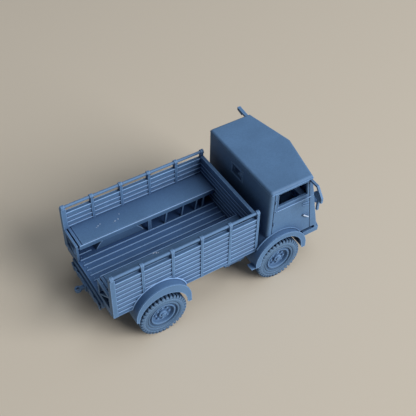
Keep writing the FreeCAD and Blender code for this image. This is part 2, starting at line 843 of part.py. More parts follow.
def seam_x(level):
    """The door's front seam at a height."""
    share = (cab_top - level) / (cab_top - cab_bottom)
    return door_rear + S.door_top_length + S.door_lean * share


def vee_plan(level):
    """The plan of the cab's front at a height: two plates in a V with short side returns."""
    wide = S.cab_half_width
    wall = S.cab_wall
    corner = corner_x(level)
    seam = seam_x(level)
    inner = corner - S.screen_thickness
    return [
        (corner, -wide), (corner + S.vee_depth, 0), (corner, wide), (seam, wide), (seam, wide - wall),
        (inner, wide - wall), (inner + S.vee_depth, 0), (inner, wall - wide), (seam, wall - wide), (seam, -wide),
    ]


def vee_shell(name, low, high):
    """The V front between two heights as a loft of its plans."""
    body = doc.addObject("PartDesign::Body", name)
    bottom = outline(sketch_on(body, name + "_bottom", "XY_Plane", low), vee_plan(low))
    top = outline(sketch_on(body, name + "_top", "XY_Plane", high), vee_plan(high))
    loft = body.newObject("PartDesign::AdditiveLoft", name + "_loft")
    loft.Profile = bottom
    loft.Sections = [top]
    loft.Ruled = True
    return body


def make_windscreen():
    """The split windscreen's frame with its corner pillars."""
    shell = vee_shell("screen_shell", belt_height, cab_top)
    tools = []
    reach = roof_corner_x + S.nose_lean + S.vee_depth + S.overrun
    for side_name, side in SIDES.items():
        across = sided(side, S.screen_margin / 2, S.cab_half_width - S.screen_margin)
        tools.append(box(f"screen_opening_{side_name}", (door_rear, reach), across,
                         (belt_height + S.screen_sill_rise, window_head)))
    keep(cut("windscreen_frame", shell, tools), "windscreen_frame")


def make_nose():
    """The lower V front with the grille's opening, and a skirt below it down to the bumper."""
    shell = vee_shell("nose_shell", bumper_top, belt_height)
    across = S.cab_half_width + S.overrun
    side_room = box("nose_side_room", (door_rear, corner_x(cab_bottom) - S.screen_thickness), (-across, across),
                    (bumper_top - S.overrun, cab_bottom))
    low, high = cab_bottom + S.grille_rise, belt_height - S.grille_top_margin
    reach = roof_corner_x + S.nose_lean + S.vee_depth + S.overrun
    inside = S.grille_half_width - S.grille_frame
    opening = box("grille_opening", (door_rear, reach), (-inside, inside),
                  (low + S.grille_frame, high - S.grille_frame))
    keep(cut("nose_panel", shell, [opening, side_room]), "nose_panel")


def grille_plan(level, half, back, front):
    """A V-shaped band in plan, from back to front of the nose's face, at a height."""
    slope = S.vee_depth / S.cab_half_width
    corner = corner_x(level)
    ridge = corner + S.vee_depth
    edge = ridge - slope * half
    return [(edge + front, -half), (ridge + front, 0), (edge + front, half),
            (edge + back, half), (ridge + back, 0), (edge + back, -half)]


def grille_band(name, low, high, half, back, front):
    """A V-shaped band lofted between two heights."""
    body = doc.addObject("PartDesign::Body", name)
    bottom = outline(sketch_on(body, name + "_bottom", "XY_Plane", low), grille_plan(low, half, back, front))
    top = outline(sketch_on(body, name + "_top", "XY_Plane", high), grille_plan(high, half, back, front))
    loft = body.newObject("PartDesign::AdditiveLoft", name + "_loft")
    loft.Profile = bottom
    loft.Sections = [top]
    loft.Ruled = True
    return body


def make_grille():
    """The radiator grille: a proud frame with upright louvres."""
    half = S.grille_half_width
    proud = S.grille_proud
    back = -S.screen_thickness
    bottom, top = cab_bottom + S.grille_rise, belt_height - S.grille_top_margin
    outer = grille_band("grille_outer", bottom, top, half, as_size(0), proud)
    inside = half - S.grille_frame
    low = bottom + S.grille_frame
    high = top - S.grille_frame
    reach = roof_corner_x + S.nose_lean + S.vee_depth + proud + S.overrun
    opening = box("grille_frame_opening", (door_rear, reach), (-inside, inside), (low, high))
    frame = cut("grille_frame", outer, [opening])
    slats = grille_band("grille_slats", low, high, inside - S.seat_gap, back, proud * 0.6)
    gaps = []
    pitch = inside * 2 / LOUVRE_COUNT
    for number in range(LOUVRE_COUNT):
        y = -inside + pitch * number + S.louvre_width / 2
        gaps.append(box(f"grille_gap_{number}", (door_rear, reach), (y, y + pitch - S.louvre_width),
                        (low + S.grille_frame, high - S.grille_frame)))
    louvres = cut("grille_louvres", slats, gaps)
    keep(together("grille", [frame, louvres]), "grille")


def make_roof():
    """The flat roof with rounded edges over the V plan."""
    body = doc.addObject("PartDesign::Body", "cab_roof")
    wide = S.cab_half_width
    corner = corner_x(cab_top) + S.roof_overhang
    points = [(cab_rear, -wide), (corner, -wide), (corner + S.vee_depth, 0), (corner, wide), (cab_rear, wide)]
    sketch = outline(sketch_on(body, "roof_plan", "XY_Plane", cab_top), points)
    pad = body.newObject("PartDesign::Pad", "roof_pad")
    pad.Profile = sketch
    bind(pad, "Length", S.roof_thickness)
    doc.recompute()
    upright = edges_where(pad.Shape, lambda e: e.BoundBox.ZLength > S.roof_thickness.value / 2
                          and e.CenterOfMass.x < cab_rear.value + S.cab_wall.value)
    corners = body.newObject("PartDesign::Fillet", "roof_corners")
    corners.Base = (pad, upright)
    bind(corners, "Radius", S.cab_corner_radius)
    doc.recompute()
    rim = edges_where(corners.Shape, lambda e: e.BoundBox.ZMin > roof_top.value - S.roof_thickness.value / 2)
    edge = body.newObject("PartDesign::Fillet", "roof_edge")
    edge.Base = (corners, rim)
    bind(edge, "Radius", S.roof_edge_radius)
    keep(body, "cab_roof")


def edges_where(shape, test):
    """The names of a shape's edges that pass a test."""
    return [f"Edge{number}" for number, edge in enumerate(shape.Edges, start=1) if test(edge)]


def make_rear_wall():
    """The cab's back with its rounded corners and a small framed window."""
    wide = S.cab_half_width
    wall = S.cab_wall
    body = doc.addObject("PartDesign::Body", "rear_wall_form")
    plan = [
        (cab_rear, -wide), (door_rear, -wide), (door_rear, wall - wide), (cab_rear + wall, wall - wide),
        (cab_rear + wall, wide - wall), (door_rear, wide - wall), (door_rear, wide), (cab_rear, wide),
    ]
    sketch = outline(sketch_on(body, "rear_wall_plan", "XY_Plane", cab_bottom), plan)
    pad = body.newObject("PartDesign::Pad", "rear_wall_pad")
    pad.Profile = sketch
    bind(pad, "Length", cab_top - cab_bottom)
    doc.recompute()
    upright = edges_where(pad.Shape, lambda e: e.BoundBox.ZLength > S.cab_wall.value
                          and e.CenterOfMass.x < cab_rear.value + S.cab_wall.value / 2)
    corners = body.newObject("PartDesign::Fillet", "rear_wall_corners")
    corners.Base = (pad, upright)
    bind(corners, "Radius", S.cab_corner_radius)
    right = S.rear_window_offset - S.rear_window_half_width
    left = S.rear_window_offset + S.rear_window_half_width
    head = cab_top - S.rear_window_drop
    sill = head - S.rear_window_height
    rim = S.rear_window_frame
    frame = box("rear_window_surround", (cab_rear - S.rear_window_frame_depth, cab_rear + wall / 2),
                (right - rim, left + rim), (sill - rim, head + rim))
    opening = box("rear_window_opening", (cab_rear - S.overrun, cab_rear + wall + S.overrun),
                  (right, left), (sill, head))
    whole = fuse("rear_wall_whole", [body, frame])
    keep(cut("cab_rear_wall", whole, [opening] + front_arch_tools("rear_wall")), "cab_rear_wall")


def front_arch_tool(name, side):
    """A cylinder that clears a front wheel arch out of a panel of the cab."""
    return arch_tool(name, "front", side, ARCH_INNERS["front"] - S.seat_gap, S.cab_half_width + S.overrun)


def front_arch_tools(name):
    """The same for both sides."""
    return [front_arch_tool(f"{name}_arch_{side_name}", side) for side_name, side in SIDES.items()]


def make_doors():
    """The two door panels with window openings, ledges and handles, moulded shut."""
    for side_name, side in SIDES.items():
        low, high = sided(side, S.cab_half_width - S.cab_wall, S.cab_half_width)
        points = [(door_rear, cab_bottom), (seam_x(cab_bottom), cab_bottom),
                  (seam_x(cab_top), cab_top), (door_rear, cab_top)]
        panel = prism(f"door_panel_{side_name}", "XZ", points, low, high)
        edge = S.window_front_margin
        window_rear = door_rear + S.window_rear_margin
        hole = [(window_rear, window_sill), (seam_x(window_sill) - edge, window_sill),
                (seam_x(window_head) - edge, window_head), (window_rear, window_head)]
        window = prism(f"door_window_{side_name}", "XZ", hole, low - S.overrun, high + S.overrun)
        outer = S.cab_half_width
        ledge_top = window_sill - S.ledge_drop
        ledge = box(f"door_ledge_{side_name}", (door_rear + S.ledge_height, seam_x(ledge_top) - S.ledge_height),
                    sided(side, outer, outer + S.ledge_depth), (ledge_top - S.ledge_height, ledge_top))
        level = cab_bottom + S.handle_rise
        handle = rod(f"door_handle_{side_name}", ROD_SIDES, S.handle_radius, "X",
                     (seam_x(level) - S.handle_set - S.handle_length / 2, (outer + S.handle_radius * 0.7) * side,
                      level), S.handle_length)
        arch = front_arch_tool(f"door_arch_{side_name}", side)
        solid = fuse(f"door_whole_{side_name}", [panel, ledge, handle])
        keep(cut(f"door_{side_name}", solid, [window, arch]), f"door_{side_name}")


def make_cab_floor():
    """The cab's floor on the frame's bearers, clear of the wheel arches and pointed to meet the nose."""
    inside = S.cab_half_width - S.cab_wall
    rear = cab_rear + S.cab_wall
    corner = corner_x(cab_floor_top) - S.screen_thickness - S.seat_gap
    plan = [(rear, -inside), (corner, -inside), (corner + S.vee_depth, 0), (corner, inside), (rear, inside)]
    slab = prism("cab_floor_slab", "XY", plan, floor_bottom, cab_floor_top)
    keep(cut("cab_floor", slab, front_arch_tools("cab_floor")), "cab_floor")


def make_seats():
    """Two bench-like seats with upright backs."""
    rear = cab_rear + S.seat_setback
    front = rear + S.seat_depth
    back_top = seat_height + S.seat_back
    cushion = S.seat_cushion
    for side_name, side in SIDES.items():
        low = S.seat_centre - S.seat_half_width
        high = S.seat_centre + S.seat_half_width
        section = [
            (rear, cab_floor_top), (front - cushion, cab_floor_top), (front - cushion, seat_height - cushion),
            (front, seat_height - cushion), (front, seat_height), (rear + cushion, seat_height),
            (rear + cushion * 0.6, back_top), (rear - cushion * 0.4, back_top),
        ]
        across = sided(side, low, high)
        keep(prism(f"seat_{side_name}", "XZ", section, across[0], across[1]), f"seat_{side_name}")


def make_controls():
    """The dashboard shelf, and the steering wheel with three spokes on its column."""
    inside = S.cab_half_width - S.cab_wall
    shelf_top = belt_height - S.dash_drop
    front = corner_x(shelf_top) - S.screen_thickness
    points = [(front - S.dash_depth, -inside), (front, -inside), (front, inside), (front - S.dash_depth, inside)]
    keep(prism("dashboard", "XY", points, shelf_top - S.dash_height, shelf_top), "dashboard")
    rim = S.steering_rim
    spoke = S.steering_spoke
    height = seat_height + S.steering_clearance
    blank = rod("steering_blank", RING_SIDES, S.steering_radius, "Z", (0, 0, -rim / 2), rim)
    hole = rod("steering_hole", RING_SIDES, S.steering_radius - rim, "Z", (0, 0, -rim), rim * 2)
    pieces = [cut("steering_ring", blank, [hole])]
    for number in range(3):
        arm = box(f"steering_spoke_{number}", (0, S.steering_radius - rim / 2), (-spoke / 2, spoke / 2),
                  (-spoke / 2, spoke / 2))
        turned_arm = together(f"steering_arm_{number}", [arm])
        turned_arm.Placement = FreeCAD.Placement(Vector(0, 0, 0), FreeCAD.Rotation(Vector(0, 0, 1), 120 * number))
        pieces.append(turned_arm)
    length = (height - cab_floor_top) / cos(radians(STEERING_LEAN)) - rim
    pieces.append(rod("steering_column", ROD_SIDES, S.steering_column_radius, "Z", (0, 0, -length), length + rim / 2))
    wheel = fuse("steering_wheel", pieces)
    base = (front - S.dash_depth - S.steering_radius * 1.3, S.seat_centre, height)
    keep(place(wheel, base, FreeCAD.Rotation(Vector(0, 1, 0), -STEERING_LEAN)), "steering_wheel")


def make_lamps():
    """A pair of round headlamps on short stalks from the nose."""
    lamps = []
    slope = S.vee_depth / S.cab_half_width
    stalk = S.lamp_stalk_radius
    radius = S.lamp_radius
    length = S.lamp_length
    height = cab_bottom + S.lamp_rise
    face = corner_x(height - stalk) + S.vee_depth - slope * (S.lamp_centre - stalk)
    for side_name, side in SIDES.items():
        y = S.lamp_centre * side
        start = (face + radius * 0.6, y, height)
        shell = stepped(f"lamp_shell_{side_name}", RING_SIDES, [
            (0, radius * 0.35), (length * 0.25, radius * 0.65), (length * 0.7, radius), (length, radius),
        ], "X", start)
        recess = rod(f"lamp_recess_{side_name}", RING_SIDES, radius - S.lamp_rim, "X",
                     (start[0] + length - S.lamp_recess, y, height), S.lamp_recess + S.overrun)
        stem = rod(f"lamp_stalk_{side_name}", ROD_SIDES, stalk, "X", (face, y, height), radius * 0.9)
        whole = fuse(f"lamp_whole_{side_name}", [shell, stem])
        lamps.append(cut(f"headlamp_{side_name}", whole, [recess]))
    keep(together("headlamps", lamps), "headlamps")


def make_bumper():
    """The front bumper, wrapped back round the corners."""
    front = corner_x(cab_bottom) + S.bumper_front_gap
    wide = S.cab_half_width
    thick = S.bumper_thickness
    points = [
        (front - S.bumper_return, -wide), (front, -wide), (front + S.vee_depth, -wide * 0.35),
        (front + S.vee_depth, wide * 0.35), (front, wide), (front - S.bumper_return, wide),
        (front - S.bumper_return, wide - thick), (front - thick, wide - thick),
        (front + S.vee_depth - thick, wide * 0.33), (front + S.vee_depth - thick, -wide * 0.33),
        (front - thick, thick - wide), (front - S.bumper_return, thick - wide),
    ]
    bottom = bumper_top - S.bumper_height
    bar_body = prism("bumper_bar", "XY", points, bottom, bumper_top)
    horns = []
    for side_name, side in SIDES.items():
        across = sided(side, S.rail_centre - S.rail_width / 2, S.rail_centre + S.rail_width / 2)
        horns.append(box(f"bumper_horn_{side_name}", (frame_front, front + S.vee_depth - thick), across,
                         (bottom, bumper_top)))
    keep(fuse("front_bumper", [bar_body] + horns), "front_bumper")


def make_mirrors():
    """The right mirror on its bent arm, and the left one folded up against its arm."""
    start = S.cab_half_width
    width = S.mirror_arm_width
    tip = start + S.mirror_reach
    shoulder = start + S.mirror_shoulder
    top = cab_top
    x = corner_x(window_head) - width
    arm = [
        (start, top - width), (shoulder - width / 2, top - width), (tip - width, top - S.mirror_drop),
        (tip - width, top - S.mirror_drop - width * 2), (tip, top - S.mirror_drop - width * 2),
        (tip, top - S.mirror_drop + width / 2), (shoulder, top), (start, top),
    ]
    centre_y = tip - width - S.mirror_half_width * 0.8
    centre_z = top - S.mirror_drop
    wide, tall = S.mirror_half_width, S.mirror_half_height
    edge_shares = ((0.6, 1), (1, 0.6), (1, -0.6), (0.6, -1), (-0.6, -1), (-1, -0.6), (-1, 0.6), (-0.6, 1))
    head = [(centre_y + wide * across, centre_z + tall * up) for across, up in reversed(edge_shares)]
    stub = [(centre_y, centre_z - tall), (centre_y + width, centre_z - tall),
            (centre_y + width, centre_z - tall - S.mirror_stub), (centre_y, centre_z - tall - S.mirror_stub)]
    sheet = (x - S.mirror_thickness / 2, x + S.mirror_thickness / 2)
    round_bar = (x - width / 2, x + width / 2)
    pieces = [
        prism("mirror_arm", "YZ", mirrored_points(arm, -1), *round_bar),
        prism("mirror_head", "YZ", mirrored_points(head, -1), *sheet),
        prism("mirror_stub", "YZ", mirrored_points(list(reversed(stub)), -1), *sheet),
    ]
    keep(fuse("mirror_right", pieces), "mirror_right")
    fold = S.mirror_fold_depth
    raised = [
        (start, top - width * 2), (shoulder, top - width * 1.5), (shoulder, top - width * 1.5 - fold),
        (tip, top - width * 1.5 - fold + S.mirror_rise / 2), (tip, top - width + S.mirror_rise / 2),
        (start, top - width),
    ]
    keep(prism("mirror_left", "YZ", raised, x, x + width * 1.5), "mirror_left")


def make_drive_line():
    """The engine block, and the transfer gearbox with the shafts to both axles."""
    engine_front = frame_front - S.engine_gap
    block = box("engine_form", (engine_front - S.engine_length, engine_front),
                (-S.engine_half_width, S.engine_half_width), (floor_bottom - S.engine_depth, floor_bottom))
    keep(block, "engine_block")
    case = box("gearbox_case", (gearbox_rear, gearbox_front), (-S.gearbox_half_width, S.gearbox_half_width),
               (rail_bottom - S.gearbox_drop, rail_bottom + S.overrun))
    inner = S.rail_centre - S.rail_width / 2
    hanger = box("gearbox_hanger", (gearbox_rear, gearbox_rear + S.bearer_width), (-inner, inner),
                 (rail_bottom, rail_bottom + S.overrun))
    level = S.tyre_radius + S.banjo_radius * 0.6
    rear_end = AXLES["rear"] + S.banjo_radius
    rear_shaft = rod("rear_shaft", ROD_SIDES, S.shaft_radius, "X", (rear_end, 0, level), gearbox_rear - rear_end)
    front_shaft = rod("front_shaft", ROD_SIDES, S.shaft_radius, "X", (gearbox_front, 0, level),
                      AXLES["front"] - S.banjo_radius - gearbox_front)
    keep(fuse("gearbox_and_shafts", [case, hanger, rear_shaft, front_shaft]), "gearbox_and_shafts")


def make_tank():
    """The fuel tank that hangs from the bearers behind the right front wheel."""
    front = AXLES["front"] - arch_radius - S.tank_gap
    rear = front - S.tank_length
    inner = S.rail_centre + S.rail_width / 2 + S.tank_room
    outer = inner + S.tank_width
    bottom = rail_top - S.tank_depth
    body = doc.addObject("PartDesign::Body", "fuel_tank")
    points = [(-outer, bottom), (-inner, bottom), (-inner, rail_top), (-outer, rail_top)]
    sketch = outline(sketch_on(body, "tank_section", "YZ_Plane"), points)
    pad = body.newObject("PartDesign::Pad", "tank_pad")
    pad.Profile = sketch
    bind(pad, "Length", S.tank_length)
    doc.recompute()
    edges = edges_where(pad.Shape, lambda e: e.BoundBox.XLength > S.tank_edge_radius.value
                        and e.CenterOfMass.z < rail_top.value - S.tank_edge_radius.value)
    soft = body.newObject("PartDesign::Fillet", "tank_edges")
    soft.Base = (pad, edges)
    bind(soft, "Radius", S.tank_edge_radius)
    bind(body, "Placement.Base.x", rear)
    keep(body, "fuel_tank")


def make_tow_hook():
    """The tow eye on its shank behind the rear transom."""
    level = (rail_bottom + rail_top) / 2
    half = S.hook_height / 2
    face = frame_rear - S.transom_thickness
    eye_x = face - S.hook_reach + S.hook_eye_radius
    plate = box("hook_plate", (face - S.hook_plate, face), (-S.hook_height, S.hook_height),
                (rail_bottom, rail_top))
    shank = box("hook_shank", (eye_x, face), (-half, half), (level - half, level + half))
    ring = rod("hook_ring", RING_SIDES, S.hook_eye_radius, "Z", (eye_x, 0, level - half), S.hook_height)
    bore = bar("hook_bore", S.hook_bore_radius, "Z", (eye_x, 0, level - half - S.overrun),
               S.hook_height + S.overrun * 2)
    keep(cut("tow_hook", fuse("hook_form", [plate, shank, ring]), [bore]), "tow_hook")


def make_all():
    """Make every piece."""
    make_wheels()
    for end in ENDS:
        make_axle(end)
        make_springs(end)
    make_frame()
    make_floor()
    make_sides()
    make_headboard()
    make_tail_frames()
    make_benches()
    make_arches()
    make_windscreen()
    make_nose()
    make_grille()
    make_roof()
    make_rear_wall()
    make_doors()
    make_cab_floor()
    make_seats()
    make_controls()
    make_lamps()
    make_bumper()
    make_mirrors()
    make_drive_line()
    make_tank()
    make_tow_hook()
    doc.recompute()


def write_parts():
    """Stop on any failed object, then write each piece to its own file."""
    for item in doc.Objects:
        if "Invalid" in item.State or "Error" in item.State:
            raise RuntimeError(f"{item.Label} failed: {item.State}")
    os.makedirs("parts", exist_ok=True)
    for item in sub_parts:
        shape = Part.getShape(item)
        if shape.isNull() or not shape.isValid():
            raise RuntimeError(f"{item.Label} has no valid shape")
        shape.exportStep(f"parts/{item.Label}.step")
        print(f"{item.Label}: {len(shape.Solids)} solids, {shape.Volume:.2f} mm3")


make_all()
write_parts()
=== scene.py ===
"""Dresses the cast resin model of a cargo truck: rounded castings, tyres, wheels, fittings and the studio."""

from math import cos, pi, radians, sin, sqrt, tau

import bmesh
import bpy
from mathutils import Matrix, Vector


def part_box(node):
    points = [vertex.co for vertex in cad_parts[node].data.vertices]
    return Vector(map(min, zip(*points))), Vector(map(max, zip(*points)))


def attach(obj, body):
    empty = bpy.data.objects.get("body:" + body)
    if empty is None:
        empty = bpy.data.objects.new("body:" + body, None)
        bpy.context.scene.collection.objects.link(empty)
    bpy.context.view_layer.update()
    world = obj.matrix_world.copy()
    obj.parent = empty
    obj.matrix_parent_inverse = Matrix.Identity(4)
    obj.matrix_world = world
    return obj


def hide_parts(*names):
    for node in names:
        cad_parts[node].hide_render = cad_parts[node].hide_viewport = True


bl_info = {
    "name": "Resin Truck Model",
    "version": (1, 0, 0),
    "blender": (4, 5, 0),
    "location": "View3D > Sidebar > Resin Truck",
    "description": "Dresses the packed truck model in cast resin with its small fittings",
    "category": "Object",
}

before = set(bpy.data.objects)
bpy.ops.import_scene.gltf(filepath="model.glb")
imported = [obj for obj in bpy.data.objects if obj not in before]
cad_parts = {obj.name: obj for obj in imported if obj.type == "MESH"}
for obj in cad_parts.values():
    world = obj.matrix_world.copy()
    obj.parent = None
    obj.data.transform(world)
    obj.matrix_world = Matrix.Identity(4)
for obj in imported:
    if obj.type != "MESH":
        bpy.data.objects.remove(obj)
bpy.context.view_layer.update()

MM = 0.001
WELD = 0.002 * MM
TRUCK = "truck"
SIDES = {"left": 1, "right": -1}
ENDS = ("rear", "front")
CORNERS = [f"{end}_{side}" for end in ENDS for side in SIDES]

# The front of the cab: the nose leans back and is swept back in a V, and the bumper's ends are swept back too.
# Places are in millimetres, leans and sweeps in millimetres for each millimetre, and the fittings' turns in radians
NOSE_FORWARD, NOSE_UP, NOSE_LEAN, NOSE_SWEEP = 30.54, 24.0, 0.2013, 0.218
NOSE_TILT, NOSE_YAW = 0.2, 0.215
BUMPER_FORWARD, BUMPER_FLAT, BUMPER_UP, BUMPER_SWEEP, BUMPER_YAW = 33.72, 5.0, 10.05, 0.335, 0.323
DOOR_FACE = 14.0
DOOR_FRONT = ((27.63, 12.05), (26.0, 24.4), (25.2, 30.4))

# How each arch's lip and bead follow their arch, in millimetres and degrees
# The rear arches' beads are in the pale resin as a painted highlight; the front ones are in the body resin.
ARCH_LIPS = {
    "rear": {"shift": 0.1, "mouth_shift": -0.1, "spread": 0.03, "mouth": 6.75, "drop": 1.7, "front_toe": 2.0,
             "rear_toe": 1.0, "bead_across": 13.52, "bead_angles": (16, 164), "finish": "highlight_cast"},
    "front": {"shift": 0.25, "mouth_shift": 0.3, "spread": 0.3, "mouth": 6.48, "drop": 0.4, "front_toe": 1.3,
              "rear_toe": 1.0, "bead_across": 14.02, "bead_angles": (25, 148), "finish": "body_cast"},
}

# The tyre's section: shares of its half width, with millimetres above the bead or, at the shoulders, below the tread
TYRE_INNER_WALL = ((-0.84, 0.0), (-0.95, 0.5), (-1.0, 1.1))
TYRE_SHOULDERS = ((-0.99, 0.8), (-0.93, 0.66), (-0.85, 0.5), (0.85, 0.5), (0.91, 0.7), (0.965, 0.95), (1.0, 1.08),
                  (1.0, 1.14), (0.965, 1.22), (0.98, 1.3), (0.995, 1.5))
TYRE_OUTER_WALL = ((0.985, 1.0), (0.95, 0.88), (0.86, 0.8), (0.84, 0.72), (0.9, 0.64), (0.94, 0.52), (0.945, 0.36),
                   (0.9, 0.22), (0.78, 0.14), (0.64, 0.06), (0.6, 0.0))

# The wheel's section: millimetres behind its face, with millimetres below the rim or, at the hub, from the middle
WHEEL_RIM = ((0.42, 0.0), (0.45, 0.1), (0.4, 0.24), (0.12, 0.3), (0.01, 0.38), (0.0, 0.52), (0.02, 0.64),
             (0.12, 0.74), (0.4, 0.82), (0.87, 1.0), (0.97, 1.2))
WHEEL_HUB = ((0.92, 1.28), (0.85, 1.16), (0.34, 1.1), (0.24, 1.02), (0.22, 0.58), (-0.06, 0.54), (-0.14, 0.44),
             (-0.14, 0.0))

# Turns that point a fitting's own up axis along a side of the truck
FACING = {
    "up": (0, 0, 0), "down": (pi, 0, 0), "left": (-pi / 2, 0, 0),
    "right": (pi / 2, 0, 0), "front": (0, pi / 2, 0), "rear": (0, -pi / 2, 0),
    "nose_left": (0, pi / 2 - NOSE_TILT, NOSE_YAW), "nose_right": (0, pi / 2 - NOSE_TILT, -NOSE_YAW),
    "bumper_left": (0, pi / 2, BUMPER_YAW), "bumper_right": (0, pi / 2, -BUMPER_YAW),
}


class StageSettings(bpy.types.PropertyGroup):
    """The studio: where the camera stands, and how bright the lamps are."""
    azimuth: bpy.props.FloatProperty(
        name="Azimuth", description="Turn of the camera about the truck", default=radians(-33.018),
        subtype="ANGLE", unit="ROTATION")
    elevation: bpy.props.FloatProperty(
        name="Elevation", description="Height angle of the camera", default=radians(46.089),
        subtype="ANGLE", unit="ROTATION")
    roll: bpy.props.FloatProperty(
        name="Roll", description="Turn of the camera about its own view", default=radians(1.358),
        subtype="ANGLE", unit="ROTATION")
    distance: bpy.props.FloatProperty(
        name="Distance", description="From the camera to the plane of the aim", default=201.823 * MM,
        subtype="DISTANCE", unit="LENGTH")
    aim: bpy.props.FloatVectorProperty(
        name="Aim", description="Point that the camera is turned about", default=(2.6 * MM, 0, 10 * MM),
        subtype="XYZ", unit="LENGTH")
    slide: bpy.props.FloatVectorProperty(
        name="Slide", description="Shift of the aim across and up the view", size=2,
        default=(-1.911 * MM, -7.081 * MM), unit="LENGTH")
    lens: bpy.props.FloatProperty(
        name="Lens", description="Focal length on a 36 mm sensor", default=66.12, unit="CAMERA")
    floor_colour: bpy.props.FloatVectorProperty(
        name="Floor", description="Colour of the studio floor", default=(0.66, 0.60, 0.51), subtype="COLOR")
    sky_strength: bpy.props.FloatProperty(
        name="Ambient", description="Strength of the even light from all round", default=0.12)
    key_power: bpy.props.FloatProperty(
        name="Key Power", description="Power of the large lamp at the front right", default=16.3, unit="POWER")
    top_power: bpy.props.FloatProperty(
        name="Top Power", description="Power of the soft lamp overhead", default=1.0, unit="POWER")


class ResinSettings(bpy.types.PropertyGroup):
    """The matt resin that the whole model is cast in."""
    body_colour: bpy.props.FloatVectorProperty(
        name="Body", description="Colour of the cab and bed", default=(0.098, 0.205, 0.39), subtype="COLOR")
    # A darker copy of the body colour for the chassis, tail sill and undershield: painted shade.
    chassis_shade_colour: bpy.props.FloatVectorProperty(
        name="Chassis", description="Colour of the chassis castings", default=(0.076, 0.161, 0.315), subtype="COLOR")
    # A bluer copy of the body colour for the bed's floor, which lies in shade: painted shade.
    floor_colour: bpy.props.FloatVectorProperty(
        name="Bed Floor", description="Colour of the bed's floor", default=(0.088, 0.2, 0.43), subtype="COLOR")
    # A near-black copy of the resin for lines laid in the door seams, standing for the shade in the gaps: painted
    # shade.
    seam_shade_colour: bpy.props.FloatVectorProperty(
        name="Seam Shade", description="Colour of the dark seams round the doors", default=(0.02, 0.047, 0.105),
        subtype="COLOR")
    # A darker copy of the body colour for the tyres: painted shade.
    tyre_shade_colour: bpy.props.FloatVectorProperty(
        name="Tyres", description="Colour of the tyre castings", default=(0.08, 0.163, 0.294), subtype="COLOR")
    # A paler copy of the resin for ridges, strips and beads, where light catches them: a painted highlight.
    highlight_colour: bpy.props.FloatVectorProperty(
        name="Painted Highlights", description="Colour of ridges rubbed pale", default=(0.29, 0.50, 0.85), subtype="COLOR")
    # Pale resin for the loose flecks, which are real, and for the door levers, where it is a painted glint.
    fleck_and_glint_colour: bpy.props.FloatVectorProperty(
        name="Flecks", description="Colour of scuffs and loose flecks", default=(0.50, 0.62, 0.82), subtype="COLOR")
    roughness: bpy.props.FloatProperty(
        name="Roughness", description="How matt the resin is", default=0.62, min=0, max=1, subtype="FACTOR")
    grain_size: bpy.props.FloatProperty(
        name="Grain", description="Size of the resin's surface grain", default=0.22 * MM, unit="LENGTH")
    layer_height: bpy.props.FloatProperty(
        name="Layers", description="Height of the faint build layers", default=0.1 * MM, unit="LENGTH")
    # The pale rubbed edges below are painted highlights, and the dark recesses, in the bed as elsewhere, are painted
    # shade.
    edge_width: bpy.props.FloatProperty(
        name="Highlight Width", description="Width of the rubbed edges", default=0.4 * MM, unit="LENGTH")
    edges: bpy.props.FloatProperty(
        name="Edges", description="How pale the rubbed edges are", default=0.8, min=0, max=1, subtype="FACTOR")
    recesses: bpy.props.FloatProperty(
        name="Recess Shade", description="How dark the recesses are", default=0.7, min=0, max=1, subtype="FACTOR")
    bed_recess_shade: bpy.props.FloatProperty(
        name="Bed Recesses", description="How dark the recesses of the bed are", default=0.95, min=0, max=1,
        subtype="FACTOR")
    dust: bpy.props.FloatProperty(
        name="Dust", description="Share of the pale specks", default=0.35, min=0, max=1, subtype="FACTOR")


class FittingSettings(bpy.types.PropertyGroup):
    """Sizes of the edges and the small fittings."""
    soft_edge: bpy.props.FloatProperty(
        name="Soft Edge", description="Rounding of cast edges", default=0.07 * MM, unit="LENGTH")
    bolt_radius: bpy.props.FloatProperty(
        name="Bolts", description="Radius of the bolt heads", default=0.2 * MM, unit="LENGTH")
    rivet_radius: bpy.props.FloatProperty(
        name="Rivets", description="Radius of the rivet heads", default=0.13 * MM, unit="LENGTH")
    lug_count: bpy.props.IntProperty(name="Lugs", description="Lugs round a tyre", default=36, min=8)
    nut_count: bpy.props.IntProperty(name="Wheel Nuts", description="Nuts on a wheel", default=8, min=3)


def low_high(node_name):
    """A solid's lowest and highest corners in millimetres."""
    low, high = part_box(node_name)
    return low / MM, high / MM


def faces_across(node_name):
    """How far from the truck's middle a solid's inner and outer faces lie, in millimetres."""
    low, high = low_high(node_name)
    return sorted((abs(low.y), abs(high.y)))


def arch_circle(node_name):
    """The centre along and up, and the radius of an arch's outside, in millimetres."""
    low, high = low_high(node_name)
    radius = (high.x - low.x) / 2
    return (low.x + high.x) / 2, high.z - radius, radius


def wheel_sizes(node_name):
    """The centre, radius and half width of a tyre or wheel in millimetres, and its side of the truck."""
    low, high = low_high(node_name)
    centre = (low + high) / 2
    return centre, (high.z - low.z) / 2, (high.y - low.y) / 2, 1 if centre.y > 0 else -1


def nose_face(across, up):
    """How far forward the sloping V of the nose lies, in millimetres."""
    return NOSE_FORWARD + (NOSE_UP - up) * NOSE_LEAN - NOSE_SWEEP * across


def socket(tree, name, kind, default=None, out=False):
    """A named input or output of a node group."""
    item = tree.interface.new_socket(name, in_out="OUTPUT" if out else "INPUT", socket_type=kind)
    if default is not None:
        item.default_value = default


def node(tree, kind, links=(), **settings):
    """A node with its settings, and its inputs set or linked by name or number."""
    item = tree.nodes.new(kind)
    for key, value in settings.items():
        setattr(item, key, value)
    for key, value in dict(links).items():
        if isinstance(value, bpy.types.NodeSocket):
            tree.links.new(value, item.inputs[key])
        else:
            item.inputs[key].default_value = value
    return item


def maths(tree, operation, *values, clamp=False):
    """The result of a sum on values and sockets."""
    return node(tree, "ShaderNodeMath", enumerate(values), operation=operation, use_clamp=clamp).outputs[0]


